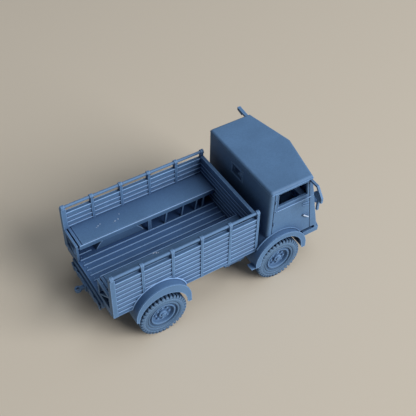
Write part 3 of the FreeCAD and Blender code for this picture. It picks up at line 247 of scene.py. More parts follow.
def spread(tree, value, low, high, to_low=0.0, to_high=1.0):
    """A value taken from one range to another and held within it."""
    return node(tree, "ShaderNodeMapRange", {
        "Value": value, "From Min": low, "From Max": high, "To Min": to_low, "To Max": to_high}).outputs[0]


def noise(tree, place, scale, detail, roughness=0.5):
    """A noise pattern on Object coordinates."""
    return node(tree, "ShaderNodeTexNoise", {
        "Vector": place, "Scale": scale, "Detail": detail, "Roughness": roughness}).outputs["Fac"]


def mixed(tree, share, first, second):
    """A share of a second colour over the first."""
    return node(tree, "ShaderNodeMix", {"Factor": share, 6: first, 7: second}, data_type="RGBA").outputs[2]


def open_share(tree, distance):
    """How open the surface is to the air within a distance."""
    return node(tree, "ShaderNodeAmbientOcclusion", {"Distance": distance}, samples=8).outputs["AO"]


def grain_group():
    """Height of the cast surface: fine grain, faint build layers and a slow unevenness."""
    tree = bpy.data.node_groups.new("cast_grain", "ShaderNodeTree")
    socket(tree, "Vector", "NodeSocketVector")
    socket(tree, "Grain Scale", "NodeSocketFloat", 4500.0)
    socket(tree, "Layer Scale", "NodeSocketFloat", 10000.0)
    socket(tree, "Height", "NodeSocketFloat", out=True)
    given = tree.nodes.new("NodeGroupInput").outputs
    wobble, layer_share, slow_share = 0.0002, 0.12, 0.5
    fine = noise(tree, given["Vector"], given["Grain Scale"], detail=3.0, roughness=0.6)
    slow = noise(tree, given["Vector"], scale=500.0, detail=2.0)
    up = node(tree, "ShaderNodeSeparateXYZ", {"Vector": given["Vector"]}).outputs["Z"]
    level = maths(tree, "ADD", up, maths(tree, "MULTIPLY", slow, wobble))
    turns = maths(tree, "MULTIPLY", level, given["Layer Scale"])
    layers = maths(tree, "SINE", maths(tree, "MULTIPLY", turns, tau))
    faint = maths(tree, "MULTIPLY_ADD", layers, layer_share, fine)
    node(tree, "NodeGroupOutput", {"Height": maths(tree, "MULTIPLY_ADD", slow, slow_share, faint)})


def tone_group():
    """Colour of the cast surface: cloudy tone, painted highlights on convex edges, painted shade in creases and
    recesses, and specks of dust.
    """
    tree = bpy.data.node_groups.new("cast_tone", "ShaderNodeTree")
    socket(tree, "Vector", "NodeSocketVector")
    for name, colour in (("Colour", (0.1, 0.2, 0.36, 1)), ("Edge Highlight Colour", (0.3, 0.42, 0.55, 1)),
                         ("Shade Colour", (0.02, 0.05, 0.12, 1))):
        socket(tree, name, "NodeSocketColor", colour)
    for name, value in (("Highlight Width", 0.0001), ("Edges", 0.5), ("Recess Shade", 0.5), ("Shade Reach", 0.009),
                        ("Dust", 0.3), ("Roughness", 0.6)):
        socket(tree, name, "NodeSocketFloat", value)
    socket(tree, "Colour", "NodeSocketColor", out=True)
    socket(tree, "Roughness", "NodeSocketFloat", out=True)
    given = tree.nodes.new("NodeGroupInput").outputs
    cloud = noise(tree, given["Vector"], scale=120.0, detail=5.0)
    speckle = noise(tree, given["Vector"], scale=2600.0, detail=2.0)
    tone = maths(tree, "MULTIPLY", spread(tree, cloud, 0.3, 0.7, to_low=0.9, to_high=1.08),
                 spread(tree, speckle, 0.3, 0.7, to_low=0.94, to_high=1.06))
    shaded = node(tree, "ShaderNodeVectorMath", {0: given["Colour"], "Scale": tone}, operation="SCALE").outputs[0]
    # Convex edges, found by a bevel normal, are mixed towards the edge highlight colour: a painted highlight.
    rounded = node(tree, "ShaderNodeBevel", {"Radius": given["Highlight Width"]}, samples=6).outputs[0]
    flat = node(tree, "ShaderNodeNewGeometry").outputs["True Normal"]
    same = node(tree, "ShaderNodeVectorMath", {0: rounded, 1: flat}, operation="DOT_PRODUCT").outputs["Value"]
    near, wide = open_share(tree, 0.0005), open_share(tree, given["Shade Reach"])
    proud = maths(tree, "MULTIPLY", spread(tree, same, low=0.99, high=0.84), spread(tree, near, low=0.35, high=0.65))
    edged = mixed(tree, maths(tree, "MULTIPLY", proud, given["Edges"]), shaded, given["Edge Highlight Colour"])
    # Creases, recesses and deep hollows, found by ambient occlusion, are darkened towards the shade colour: painted
    # shade.
    close = maths(tree, "MULTIPLY_ADD", near, 0.5, 0.5)
    recess = maths(tree, "SUBTRACT", 1.0, maths(tree, "MULTIPLY", close, wide))
    painted_shade = maths(tree, "MULTIPLY", recess, given["Recess Shade"], clamp=True)
    with_shade = mixed(tree, painted_shade, edged, given["Shade Colour"])
    cells = node(tree, "ShaderNodeTexVoronoi", {"Vector": given["Vector"], "Scale": 420.0}).outputs["Distance"]
    patch = noise(tree, given["Vector"], scale=160.0, detail=1.0)
    specks = maths(tree, "MULTIPLY", spread(tree, cells, 0.03, 0.06, to_low=1.0, to_high=0.0),
                   spread(tree, patch, low=0.5, high=0.62))
    dusty = mixed(tree, maths(tree, "MULTIPLY", specks, given["Dust"]), with_shade, (0.45, 0.52, 0.6, 1))
    sheen = spread(tree, cloud, 0.3, 0.7, to_low=-0.07, to_high=0.07)
    node(tree, "NodeGroupOutput", {"Colour": dusty, "Roughness": maths(tree, "ADD", sheen, given["Roughness"])})


def resin(name, colour, settings, relief, changes):
    """A matt resin of one colour with its own height of relief, painted highlights on its edges and painted shade in
    its recesses, and any changes to these.
    """
    # The edge highlight colour is a paler copy, and the shade colour a darker copy, of the resin's colour.
    highlight_gain, highlight_lift, shade_shares = 1.9, 0.06, (0.06, 0.13, 0.26)
    material = bpy.data.materials.new(name)
    material.use_nodes = True
    tree = material.node_tree
    groups = bpy.data.node_groups
    place = node(tree, "ShaderNodeTexCoord").outputs["Object"]
    tone = node(tree, "ShaderNodeGroup", {
        "Vector": place, "Colour": [*colour, 1],
        "Edge Highlight Colour": [min(1, part * highlight_gain + highlight_lift) for part in colour] + [1],
        "Shade Colour": [part * share for part, share in zip(colour, shade_shares)] + [1],
        "Highlight Width": settings.edge_width, "Edges": settings.edges, "Recess Shade": settings.recesses,
        "Dust": settings.dust, "Roughness": settings.roughness, **changes}, node_tree=groups["cast_tone"])
    grain = node(tree, "ShaderNodeGroup", {
        "Vector": place, "Grain Scale": 1 / settings.grain_size, "Layer Scale": 1 / settings.layer_height,
    }, node_tree=groups["cast_grain"])
    bump = node(tree, "ShaderNodeBump", {"Height": grain.outputs["Height"], "Distance": relief, "Strength": 1.0})
    shader = tree.nodes["Principled BSDF"]
    tree.links.new(tone.outputs["Colour"], shader.inputs["Base Color"])
    tree.links.new(tone.outputs["Roughness"], shader.inputs["Roughness"])
    tree.links.new(bump.outputs["Normal"], shader.inputs["Normal"])
    shader.inputs["Specular IOR Level"].default_value = 0.35


def start_tree(name, count, *places):
    """A tree that repeats a shape, with its inputs."""
    tree = bpy.data.node_groups.new(name, "GeometryNodeTree")
    socket(tree, "Shape", "NodeSocketObject")
    socket(tree, "Count", "NodeSocketInt", count)
    for place in places:
        socket(tree, place, "NodeSocketVector")
    socket(tree, "Finish", "NodeSocketMaterial")
    socket(tree, "Geometry", "NodeSocketGeometry", out=True)
    return tree, tree.nodes.new("NodeGroupInput").outputs


def finish_tree(tree, given, start, step, turn):
    """The end of a tree: turned copies along a line, made real, with their material."""
    points = node(tree, "GeometryNodeMeshLine", {"Count": given["Count"], "Start Location": start, "Offset": step})
    shape = node(tree, "GeometryNodeObjectInfo", {"Object": given["Shape"]})
    copies = node(tree, "GeometryNodeInstanceOnPoints", {
        "Points": points.outputs[0], "Instance": shape.outputs["Geometry"], "Rotation": turn})
    real = node(tree, "GeometryNodeRealizeInstances", {"Geometry": copies.outputs["Instances"]})
    painted = node(tree, "GeometryNodeSetMaterial", {"Geometry": real.outputs[0], "Material": given["Finish"]})
    node(tree, "NodeGroupOutput", {"Geometry": painted.outputs[0]})


def ring_tree():
    """Geometry nodes that repeat a shape round the Y axis through a centre."""
    tree, given = start_tree("ring_of_shapes", 8, "Centre")
    number = node(tree, "GeometryNodeInputIndex").outputs[0]
    angle = maths(tree, "MULTIPLY", maths(tree, "DIVIDE", number, given["Count"]), tau)
    turn = node(tree, "ShaderNodeCombineXYZ", {"Y": angle}).outputs[0]
    finish_tree(tree, given, given["Centre"], (0, 0, 0), turn)


def row_tree():
    """Geometry nodes that repeat a shape along a straight row."""
    tree, given = start_tree("row_of_shapes", 4, "Start", "Step", "Turn")
    finish_tree(tree, given, given["Start"], given["Step"], given["Turn"])


def plain_mesh(holder):
    """The mesh of a temporary object with its modifiers applied; the object is taken away."""
    bpy.context.scene.collection.objects.link(holder)
    bpy.context.view_layer.update()
    graph = bpy.context.evaluated_depsgraph_get()
    mesh = bpy.data.meshes.new_from_object(holder.evaluated_get(graph))
    bpy.data.objects.remove(holder)
    return mesh


def grown(tree_name, **inputs):
    """The plain mesh that a tree gives with these inputs."""
    tree = bpy.data.node_groups[tree_name]
    holder = bpy.data.objects.new("holder", bpy.data.meshes.new("holder"))
    modifier = holder.modifiers.new(tree_name, "NODES")
    modifier.node_group = tree
    for item in tree.interface.items_tree:
        if item.in_out == "INPUT" and item.name in inputs:
            modifier[item.identifier] = inputs[item.name]
    return plain_mesh(holder)


def ring_of(shape, count, centre, side, height, radius, finish):
    """A ring of fittings that point outwards, in millimetres from the centre of a wheel or cover."""
    shape.data.transform(Matrix.Rotation(-pi / 2 * side, 4, "X"))
    shape.data.transform(Matrix.Translation(Vector((0, height * side, radius)) * MM))
    return grown("ring_of_shapes", Shape=shape, Count=count, Centre=centre * MM, Finish=bpy.data.materials[finish])


def row_of(shape, count, start, step, facing, finish):
    """A row of fittings from a start in millimetres."""
    return grown("row_of_shapes", Shape=shape, Count=count, Start=Vector(start) * MM, Step=Vector(step) * MM,
                 Turn=FACING[facing], Finish=bpy.data.materials[finish])


def finished(name, mesh, finish, body=TRUCK, stands_for=()):
    """A named piece that rides on its body and stands for its solids."""
    piece = bpy.data.objects.new(name, mesh)
    bpy.context.scene.collection.objects.link(piece)
    mesh.materials.clear()
    mesh.materials.append(bpy.data.materials[finish])
    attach(piece, body)
    if stands_for:
        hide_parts(*stands_for)


def trim(name, parts, finish="body_cast"):
    """Parts joined to one piece that is added to the solids."""
    finished(name, joined(parts), finish)


def smooth(mesh, angle=radians(38)):
    """Smooth shading with sharp edges past an angle."""
    mesh.polygons.foreach_set("use_smooth", [True] * len(mesh.polygons))
    mesh.set_sharp_from_angle(angle=angle)
    return mesh


def from_bmesh(shape, outward=False):
    """A mesh from a bmesh, with its faces turned outwards if asked."""
    if outward:
        bmesh.ops.recalc_face_normals(shape, faces=shape.faces)
    mesh = bpy.data.meshes.new("part")
    shape.to_mesh(mesh)
    shape.free()
    return mesh


def joined(meshes):
    """Several meshes as one."""
    whole = bmesh.new()
    for mesh in meshes:
        whole.from_mesh(mesh)
    return from_bmesh(whole)


def bevelled(shape, edges, width, segments=2):
    """Rounds edges by a width in millimetres."""
    bmesh.ops.bevel(shape, geom=edges, offset=width * MM, segments=segments, profile=0.5, affect="EDGES",
                    clamp_overlap=True)


def cast_mesh(source, width, limits):
    """A solid's mesh with its doubles merged and its sharp edges rounded, held between limits across if given."""
    flat, crease, even_weight = radians(0.6), radians(25), 100
    shape = bmesh.new()
    shape.from_mesh(source)
    if limits:
        for vert in shape.verts:
            across = min(max(abs(vert.co.y), limits[0] * MM), limits[1] * MM)
            vert.co.y = across if vert.co.y > 0 else -across
    bmesh.ops.remove_doubles(shape, verts=shape.verts, dist=WELD)
    bmesh.ops.dissolve_limit(shape, angle_limit=flat, verts=shape.verts, edges=shape.edges)
    mesh = from_bmesh(shape)
    mesh.polygons.foreach_set("use_smooth", [True] * len(mesh.polygons))
    holder = bpy.data.objects.new("holder", mesh)
    bevel = holder.modifiers.new("soft_edges", "BEVEL")
    bevel.limit_method = "ANGLE"
    bevel.angle_limit = crease
    bevel.width = width
    bevel.segments = 2
    bevel.use_clamp_overlap = False
    bevel.harden_normals = True
    weighted = holder.modifiers.new("even_shading", "WEIGHTED_NORMAL")
    weighted.weight = even_weight
    return plain_mesh(holder)


def cast(name, node_name, finish, width=None, limits=None):
    """A rounded casting in a solid's place."""
    width = bpy.context.scene.truck_fittings.soft_edge if width is None else width
    mesh = cast_mesh(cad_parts[node_name].data, width, limits)
    finished(name, mesh, finish, TRUCK, [node_name])


def circle(radius, steps):
    """Points round a circle about zero."""
    return [(radius * cos(tau * step / steps), radius * sin(tau * step / steps)) for step in range(steps)]


def skin(shape, rings):
    """Walls from ring to ring of new points, and a face on each end."""
    rings = [[shape.verts.new(point) for point in ring] for ring in rings]
    shape.faces.new(rings[0][::-1])
    shape.faces.new(rings[-1])
    for ring, after in zip(rings, rings[1:]):
        for step in range(len(ring)):
            shape.faces.new([ring[step - 1], ring[step], after[step], after[step - 1]])


def lathe(profile, centre, side):
    """A closed (across, radius) profile in millimetres turned round the Y axis through a centre."""
    segments = 96
    shape = bmesh.new()
    rings = []
    for across, radius in profile:
        y = centre.y + across * side
        points = circle(radius, segments) if radius else [(0, 0)]
        rings.append([shape.verts.new(Vector((centre.x + x, y, centre.z + z)) * MM) for x, z in points])
    for ring, after in zip(rings, rings[1:] + rings[:1]):
        for step in range(segments):
            following = (step + 1) % segments
            corners = [ring[step % len(ring)], ring[following % len(ring)],
                       after[following % len(after)], after[step % len(after)]]
            corners = list(dict.fromkeys(corners))
            if len(corners) > 2:
                shape.faces.new(corners)
    return smooth(from_bmesh(shape, outward=True))


def block(low, high, width=0.05):
    """A block with rounded edges between two corners in millimetres."""
    shape = bmesh.new()
    bmesh.ops.create_cube(shape, size=1)
    for vert in shape.verts:
        vert.co = Vector(start + (end - start) * (share + 0.5) for start, end, share in zip(low, high, vert.co)) * MM
    bevelled(shape, shape.edges, width)
    return smooth(from_bmesh(shape, outward=True), radians(50))


def side_block(low, high, side):
    """A block on one side of the truck, whose faces across are given as on the left side."""
    near, far = sorted((low[1] * side, high[1] * side))
    return block((low[0], near, low[2]), (high[0], far, high[2]))


def tube(points, radius, sides=10, closed=False):
    """A round bar along points in millimetres."""
    curve = bpy.data.curves.new("bar", "CURVE")
    curve.dimensions = "3D"
    curve.bevel_depth = radius * MM
    curve.bevel_resolution = max(1, sides // 4)
    curve.use_fill_caps = True
    spline = curve.splines.new("POLY")
    spline.points.add(len(points) - 1)
    for target, point in zip(spline.points, points):
        target.co = (*(Vector(point) * MM), 1)
    spline.use_cyclic_u = closed
    mesh = plain_mesh(bpy.data.objects.new("holder", curve))
    bpy.data.curves.remove(curve)
    shape = bmesh.new()
    shape.from_mesh(mesh)
    bmesh.ops.remove_doubles(shape, verts=shape.verts, dist=WELD)
    return smooth(from_bmesh(shape, outward=True), radians(50))


def side_tube(points, across, side, radius):
    """A round bar along (x, z) points that lies flat against one side of the truck."""
    return tube([(x, across * side, z) for x, z in points], radius)


def arc(centre, radius, start, end):
    """(x, z) points round a centre, between two angles in degrees from the front."""
    steps = 40
    angles = [radians(start + (end - start) * step / steps) for step in range(steps + 1)]
    return [(centre[0] + radius * cos(angle), centre[1] + radius * sin(angle)) for angle in angles]


def band(upper, lower, near, far):
    """A flat strip in millimetres between two rows of (x, z) points, from one distance across to another."""
    width, crease = 0.07, radians(50)
    shape = bmesh.new()
    rows = [[shape.verts.new(Vector((x, y, z)) * MM) for x, z in edge]
            for y, edge in ((near, upper), (near, lower), (far, lower), (far, upper))]
    for first, second in zip(rows, rows[1:] + rows[:1]):
        for step in range(len(upper) - 1):
            shape.faces.new([first[step], first[step + 1], second[step + 1], second[step]])
    for end in (0, -1):
        shape.faces.new([points[end] for points in rows])
    bevelled(shape, [edge for edge in shape.edges if edge.calc_face_angle(0) > crease], width)
    return smooth(from_bmesh(shape, outward=True), crease)


def ball(centre, radii, segments):
    """A ball with its own radius along each axis, in millimetres."""
    shape = bmesh.new()
    bmesh.ops.create_uvsphere(shape, u_segments=segments, v_segments=segments // 2, radius=MM)
    place = Matrix.Translation(Vector(centre) * MM) @ Matrix.Diagonal((*radii, 1))
    bmesh.ops.transform(shape, matrix=place, verts=shape.verts)
    return smooth(from_bmesh(shape, outward=True))


def hoop(centre, radius, thickness, steps=28):
    """A round ring that faces forward, in millimetres."""
    x, y, z = centre
    return tube([(x, y + across, z + up) for across, up in circle(radius, steps)], thickness, closed=True)


def fitting(name, shape):
    """A small shape that the trees repeat, kept out of the scene."""
    return bpy.data.objects.new(name, smooth(from_bmesh(shape, outward=True)))


def turned_head(name, radius, height, level_shares, sides):
    """A head that stands on the origin, from shares of its height and radius."""
    shape = bmesh.new()
    skin(shape, [[(x, y, height * level) for x, y in circle(radius * share, sides)] for level, share in level_shares])
    return fitting(name, shape)


def hexagon_head(name, radius, height, sides=6):
    """A bolt or nut head with a chamfered top."""
    return turned_head(name, radius, height, ((-0.2, 1.0), (0.75, 1.0), (1.0, 0.78)), sides)


def bolt_head(name, settings):
    """A bolt head of the size in the settings."""
    height_share = 0.8
    return hexagon_head(name, settings.bolt_radius, settings.bolt_radius * height_share)


def dome_head(name, radius):
    """A rivet or nail head."""
    return turned_head(name, radius, radius, ((-0.3, 1.0), (0.0, 1.0), (0.35, 0.8), (0.55, 0.4)), 8)


def lug_shape(radius, half, side):
    """One tread lug over the top of the tyre, in millimetres: it wraps both shoulders and widens to its feet."""
    width, crown_share, widening, chamfer = 0.62, 0.94, 0.24, 0.045
    shoulder = [(half, 1.0), (half + 0.01, 0.32), (half * 0.93, 0.08), (half * 0.82, 0.0)]
    section = [(-across, drop) for across, drop in shoulder] + shoulder[::-1]
    shape = bmesh.new()
    skin(shape, [[Vector((end * width / 2 * (crown_share + widening * drop), across * side, radius - drop)) * MM
                  for across, drop in section] for end in (-1, 1)])
    bevelled(shape, shape.edges, chamfer, segments=1)
    return fitting("lug", shape)


def strip_shape(name, length):
    """A floor strip that starts at the origin and runs forward."""
    half, shoulder, height, crown_share = 0.15, 0.1, 0.17, 0.6
    section = [(-half, 0), (-half, shoulder), (-half * crown_share, height), (half * crown_share, height),
               (half, shoulder), (half, 0)]
    shape = bmesh.new()
    skin(shape, [[Vector((x, y, z)) * MM for y, z in section] for x in (0, length)])
    return fitting(name, shape)


class AddStage(bpy.types.Operator):
    """Adds the floor, the lamps and the camera"""
    bl_idname = "truck_model.add_stage"
    bl_label = "Studio"

    def execute(self, context):
        scene = context.scene
        stage = scene.truck_stage
        scene.view_settings.view_transform = "Standard"
        add_floor(stage)
        add_world(scene, stage)
        add_lamps(stage)
        add_camera(scene, stage)
        return {"FINISHED"}


def add_floor(stage):
    """A wide pale floor under the model."""
    reach, roughness = 2.5, 0.85
    shape = bmesh.new()
    bmesh.ops.create_grid(shape, x_segments=1, y_segments=1, size=reach)
    floor = bpy.data.objects.new("studio_floor", from_bmesh(shape))
    bpy.context.scene.collection.objects.link(floor)
    material = bpy.data.materials.new("studio_paper")
    material.use_nodes = True
    shader = material.node_tree.nodes["Principled BSDF"]
    shader.inputs["Base Color"].default_value = (*stage.floor_colour, 1)
    shader.inputs["Roughness"].default_value = roughness
    floor.data.materials.append(material)


def add_world(scene, stage):
    """Even ambient light."""
    world = bpy.data.worlds.new("studio_light")
    world.use_nodes = True
    background = world.node_tree.nodes["Background"]
    background.inputs["Color"].default_value = (0.93, 0.96, 1.0, 1)
    background.inputs["Strength"].default_value = stage.sky_strength
    scene.world = world


def add_lamps(stage):
    """A large soft lamp at the front right and one overhead."""
    lamps = (
        ("key_lamp", stage.key_power, 0.8, (0.56, -0.90, 0.66), (1.0, 0.98, 0.95)),
        ("top_lamp", stage.top_power, 0.4, (0.12, -0.05, 0.7), (0.95, 0.98, 1.0)),
    )
    for name, power, size, place, colour in lamps:
        lamp = bpy.data.lights.new(name, "AREA")
        lamp.energy = power
        lamp.size = size
        lamp.color = colour
        holder = bpy.data.objects.new(name, lamp)
        bpy.context.scene.collection.objects.link(holder)
        holder.location = place
        holder.rotation_euler = (-Vector(place)).to_track_quat("-Z", "Y").to_euler()


def add_camera(scene, stage):
    """A camera where the photograph was taken from."""
    back = Vector((sin(stage.azimuth) * cos(stage.elevation), -cos(stage.azimuth) * cos(stage.elevation),
                   sin(stage.elevation)))
    across = (-back).cross(Vector((0, 0, 1))).normalized()
    up = across.cross(-back)
    turned = across * cos(stage.roll) + up * sin(stage.roll)
    upright = up * cos(stage.roll) - across * sin(stage.roll)
    spot = Vector(stage.aim) + back * stage.distance - turned * stage.slide[0] - upright * stage.slide[1]
    lens = bpy.data.cameras.new("camera")
    lens.sensor_width = 36
    lens.lens = stage.lens
    lens.clip_start = 0.005
    lens.clip_end = 10
    camera = bpy.data.objects.new("camera", lens)
    scene.collection.objects.link(camera)
    turn = Matrix((turned, upright, back)).transposed().to_4x4()
    camera.matrix_world = Matrix.Translation(spot) @ turn
    scene.camera = camera


class AddFinishes(bpy.types.Operator):
    """Makes the resin materials and the trees that repeat fittings"""
    bl_idname = "truck_model.add_finishes"
    bl_label = "Finishes"

    def execute(self, context):
        settings = context.scene.truck_resin
        grain_group()
        tone_group()
        ring_tree()
        row_tree()
        # The bed and floor resins get stronger painted shade in their recesses. The floor resin is a bluer copy, and
        # the seam, chassis and tyre resins darker copies, of the body colour as painted shade; the highlight resin is a
        # paler copy as painted highlights, and the fleck resin also serves as a painted glint on the levers.
        for name, colour, relief, changes in (
                ("body_cast", settings.body_colour, 0.012, {}),
                ("bed_cast", settings.body_colour, 0.016, {"Recess Shade": settings.bed_recess_shade}),
                ("floor_cast", settings.floor_colour, 0.016, {"Recess Shade": 1.0, "Shade Reach": 0.014}),
                ("seam_shade_cast", settings.seam_shade_colour, 0.01, {"Edges": 0.0}),
                ("chassis_cast", settings.chassis_shade_colour, 0.016, {}),
                ("tyre_cast", settings.tyre_shade_colour, 0.018, {}),
                ("wheel_cast", settings.body_colour, 0.014, {}),
                ("highlight_cast", settings.highlight_colour, 0.014, {"Edges": 0.0}),
                ("fleck_and_glint_cast", settings.fleck_and_glint_colour, 0.02, {"Edges": 0.0})):
            resin(name, colour, settings, relief * MM, changes)
        return {"FINISHED"}


class AddTyres(bpy.types.Operator):
    """Adds the four tyres with their lugs, bead rings and sidewall lines"""
    bl_idname = "truck_model.add_tyres"
    bl_label = "Tyres"

    def execute(self, context):
        fittings = context.scene.truck_fittings
        bead = 3.76
        for corner in CORNERS:
            centre, radius, half, side = wheel_sizes(f"tyre_{corner}")
            profile = [(half * share, bead + rise) for share, rise in TYRE_INNER_WALL]
            profile += [(half * share, radius - drop) for share, drop in TYRE_SHOULDERS]
            profile += [(half * share, bead + rise) for share, rise in TYRE_OUTER_WALL]
            lugs = grown("ring_of_shapes", Shape=lug_shape(radius, half, side), Count=fittings.lug_count,
                         Centre=centre * MM, Finish=bpy.data.materials["tyre_cast"])
            finished(f"tyre_cast_{corner}", joined([lathe(profile, centre, side), lugs]), "tyre_cast",
                     f"wheel_{corner}", [f"tyre_{corner}"])
        return {"FINISHED"}


class AddWheels(bpy.types.Operator):
    """Adds the four wheels with their dishes, hubs, nuts and studs"""
    bl_idname = "truck_model.add_wheels"
    bl_label = "Wheels"

    def execute(self, context):
        nut_count = context.scene.truck_fittings.nut_count
        bore, bore_end, dish, nut_ring = 0.85, 0.3, 0.97, 1.88
        for corner in CORNERS:
            centre, rim, half, side = wheel_sizes(f"wheel_disc_{corner}")
            profile = [(half - bore_end, 0), (half - bore_end, bore), (-half, bore), (-half, rim)]
            profile += [(half - depth, rim - drop) for depth, drop in WHEEL_RIM]
            profile += [(half - depth, radius) for depth, radius in WHEEL_HUB]
            parts = [lathe(profile, centre, side)]
            for shape, count, height, radius in (
                    (hexagon_head("wheel_nut", 0.33 * MM, 0.48 * MM), nut_count, half - dish + 0.03, nut_ring),
                    (dome_head("wheel_stud", 0.15 * MM), nut_count, half - dish + 0.5, nut_ring),
                    (dome_head("hub_bolt", 0.17 * MM), 6, half - 0.23, 0.8)):
                parts.append(ring_of(shape, count, centre, side, height, radius, "wheel_cast"))
            finished(f"wheel_cast_{corner}", joined(parts), "wheel_cast",
                     f"wheel_{corner}", [f"wheel_disc_{corner}"])
        return {"FINISHED"}


class AddChassis(bpy.types.Operator):
    """Adds the frame, axles, springs, engine, gearbox, tank and tow hook"""
    bl_idname = "truck_model.add_chassis"
    bl_label = "Chassis"

    def execute(self, context):
        for name in ("chassis_frame", "front_axle", "rear_axle", "front_springs", "rear_springs", "engine_block",
                     "gearbox_and_shafts", "fuel_tank", "tow_hook"):
            cast(f"{name}_cast", name, "chassis_cast")
        return {"FINISHED"}


class AddUnderside(bpy.types.Operator):
    """Adds the frame's rivets, the U-bolts and shackles, the axle covers, the tank's straps and the sump"""
    bl_idname = "truck_model.add_underside"
    bl_label = "Underside"

    def execute(self, context):
        settings = context.scene.truck_fittings
        rivet = dome_head("frame_rivet", settings.rivet_radius)
        bolt = bolt_head("chassis_bolt", settings)
        low = low_high("chassis_frame")[0]
        rail_face, first_rivet, rivet_pitch = 5.5, 1.6, 1.7
        rivets = [row_of(rivet, 33, (low.x + first_rivet, rail_face * side, z), (rivet_pitch, 0, 0), side_name,
                         "chassis_cast")
                  for side_name, side in SIDES.items() for z in (low.z + 0.45, low.z + 1.6)]
        hook_reach = 1.5
        hook = [row_of(bolt, 2, (low.x, -hook_reach, z), (0, 2 * hook_reach, 0), "rear", "chassis_cast")
                for z in (low.z + 0.5, low.z + 1.7)]
        for name, parts in (("frame_rivets", rivets), ("hook_bolts", hook),
                            *((f"{end}_axle_fittings", axle_parts(end, bolt)) for end in ENDS),
                            ("tank_fittings", tank_parts()), ("engine_sump", sump_parts(bolt))):
            trim(name, parts, "chassis_cast")
        return {"FINISHED"}


def sump_parts(bolt):
    """The engine's sump and the bolts along its flange."""
    low, high = low_high("engine_block")
    end_gap, side_gap, depth, pitch = 0.9, 0.8, 0.3, 1.06
    sump = block((low.x + end_gap, low.y + side_gap, low.z - depth), (high.x - end_gap, high.y - side_gap, low.z + 0.2),
                 0.1)
    return [sump] + [row_of(bolt, 6, (low.x + 0.8, (high.y - 0.4) * side, low.z), (pitch, 0, 0), "down",
                            "chassis_cast") for side in SIDES.values()]


def axle_parts(end, bolt):
    """The U-bolts with their plates, the shackles and the bolted cover of one axle."""
    low, high = low_high(f"{end}_springs")
    axle_low, axle_high = low_high(f"{end}_axle")
    middle, level = (axle_low.x + axle_high.x) / 2, (axle_low.z + axle_high.z) / 2
    spring_reach, leg_reach, rod = 1.05, 0.66, 0.13
    plate_long, plate_wide = 1.35, 0.9
    top, under = low.z + 1.2, level - 0.98
    parts = []
    for side in SIDES.values():
        y = (high.y - 0.5) * side
        for x in (middle - spring_reach, middle + spring_reach):
            for leg in (y - leg_reach, y + leg_reach):
                parts.append(tube([(x, leg, top), (x, leg, under - 0.1)], rod))
            parts.append(row_of(bolt, 2, (x, y - leg_reach, under - 0.12), (0, 2 * leg_reach, 0), "down",
                                "chassis_cast"))
            parts.append(tube([(x, y - leg_reach, top), (x, y + leg_reach, top)], rod))
        parts.append(block((middle - plate_long, y - plate_wide, under - 0.12),
                           (middle + plate_long, y + plate_wide, under + 0.14), 0.06))
        parts += shackles(y, high.z, (low.x + 0.35, high.x - 0.35))
    ahead = 1 if end == "front" else -1
    cover_radius = 1.42
    parts.append(hoop((middle + 1.2 * ahead, 0, level), cover_radius, 0.16))
    cover_bolts = ring_of(hexagon_head(f"{end}_cover_bolt", 0.17 * MM, 0.2 * MM), 10, Vector(), ahead, 1.3,
                          cover_radius, "chassis_cast")
    cover_bolts.transform(Matrix.Translation(Vector((middle, 0, level)) * MM) @ Matrix.Rotation(-pi / 2, 4, "Z"))
    return parts + [cover_bolts]


def shackles(y, top, ends):
    """The two cheeks and the pin at each end of a spring."""
    thickness, half, pin_reach, pin = 0.16, 0.3, 0.8, 0.18
    parts = []
    for x in ends:
        for cheek in (-0.72, 0.56):
            parts.append(block((x - half, y + cheek, top - 1.0), (x + half, y + cheek + thickness, top + 0.5)))
        parts.append(tube([(x, y - pin_reach, top - 0.6), (x, y + pin_reach, top - 0.6)], pin))
    return parts


def tank_parts():
    """Two straps, a filler cap and a drain plug on the fuel tank."""
    low, high = low_high("fuel_tank")
    strap_inset, strap_half, proud = 1.2, 0.28, 0.09
    along = low.x + 2.9
    parts = [block((x - strap_half, low.y - proud, low.z - proud), (x + strap_half, high.y + proud, high.z + proud),
                   0.3) for x in (low.x + strap_inset, high.x - strap_inset)]
    cap = hexagon_head("filler_cap", 0.6 * MM, 0.45 * MM, 12)
    plug = hexagon_head("drain_plug", 0.28 * MM, 0.25 * MM)
    for shape, spot, facing in ((cap, (along, low.y + 0.9, high.z), "up"), (plug, (along, low.y + 2.0, low.z), "down")):
        parts.append(row_of(shape, 1, spot, (0, 0, 0), facing, "chassis_cast"))
    return parts


class AddBed(bpy.types.Operator):
    """Adds the bed's floor, boards, rails, benches, end frames and wheel arches"""
    bl_idname = "truck_model.add_bed"
    bl_label = "Cargo Bed"

    def execute(self, context):
        narrow = 0.045 * MM
        post_faces = (12.36, 13.66)
        for name, finish in (("bed_floor", "floor_cast"), ("headboard", "bed_cast")):
            cast(f"{name}_cast", name, finish, narrow)
        for side in SIDES:
            for name, width, limits in (("bed_side", narrow, None), ("bed_rail", None, post_faces),
                                        ("tail_frame", None, None), ("bench", None, None),
                                        ("bench_legs", narrow, None)):
                cast(f"{name}_cast_{side}", f"{name}_{side}", "bed_cast", width, limits)
            for end in ENDS:
                cast(f"{end}_arch_cast_{side}", f"{end}_arch_{side}", "body_cast")
        return {"FINISHED"}


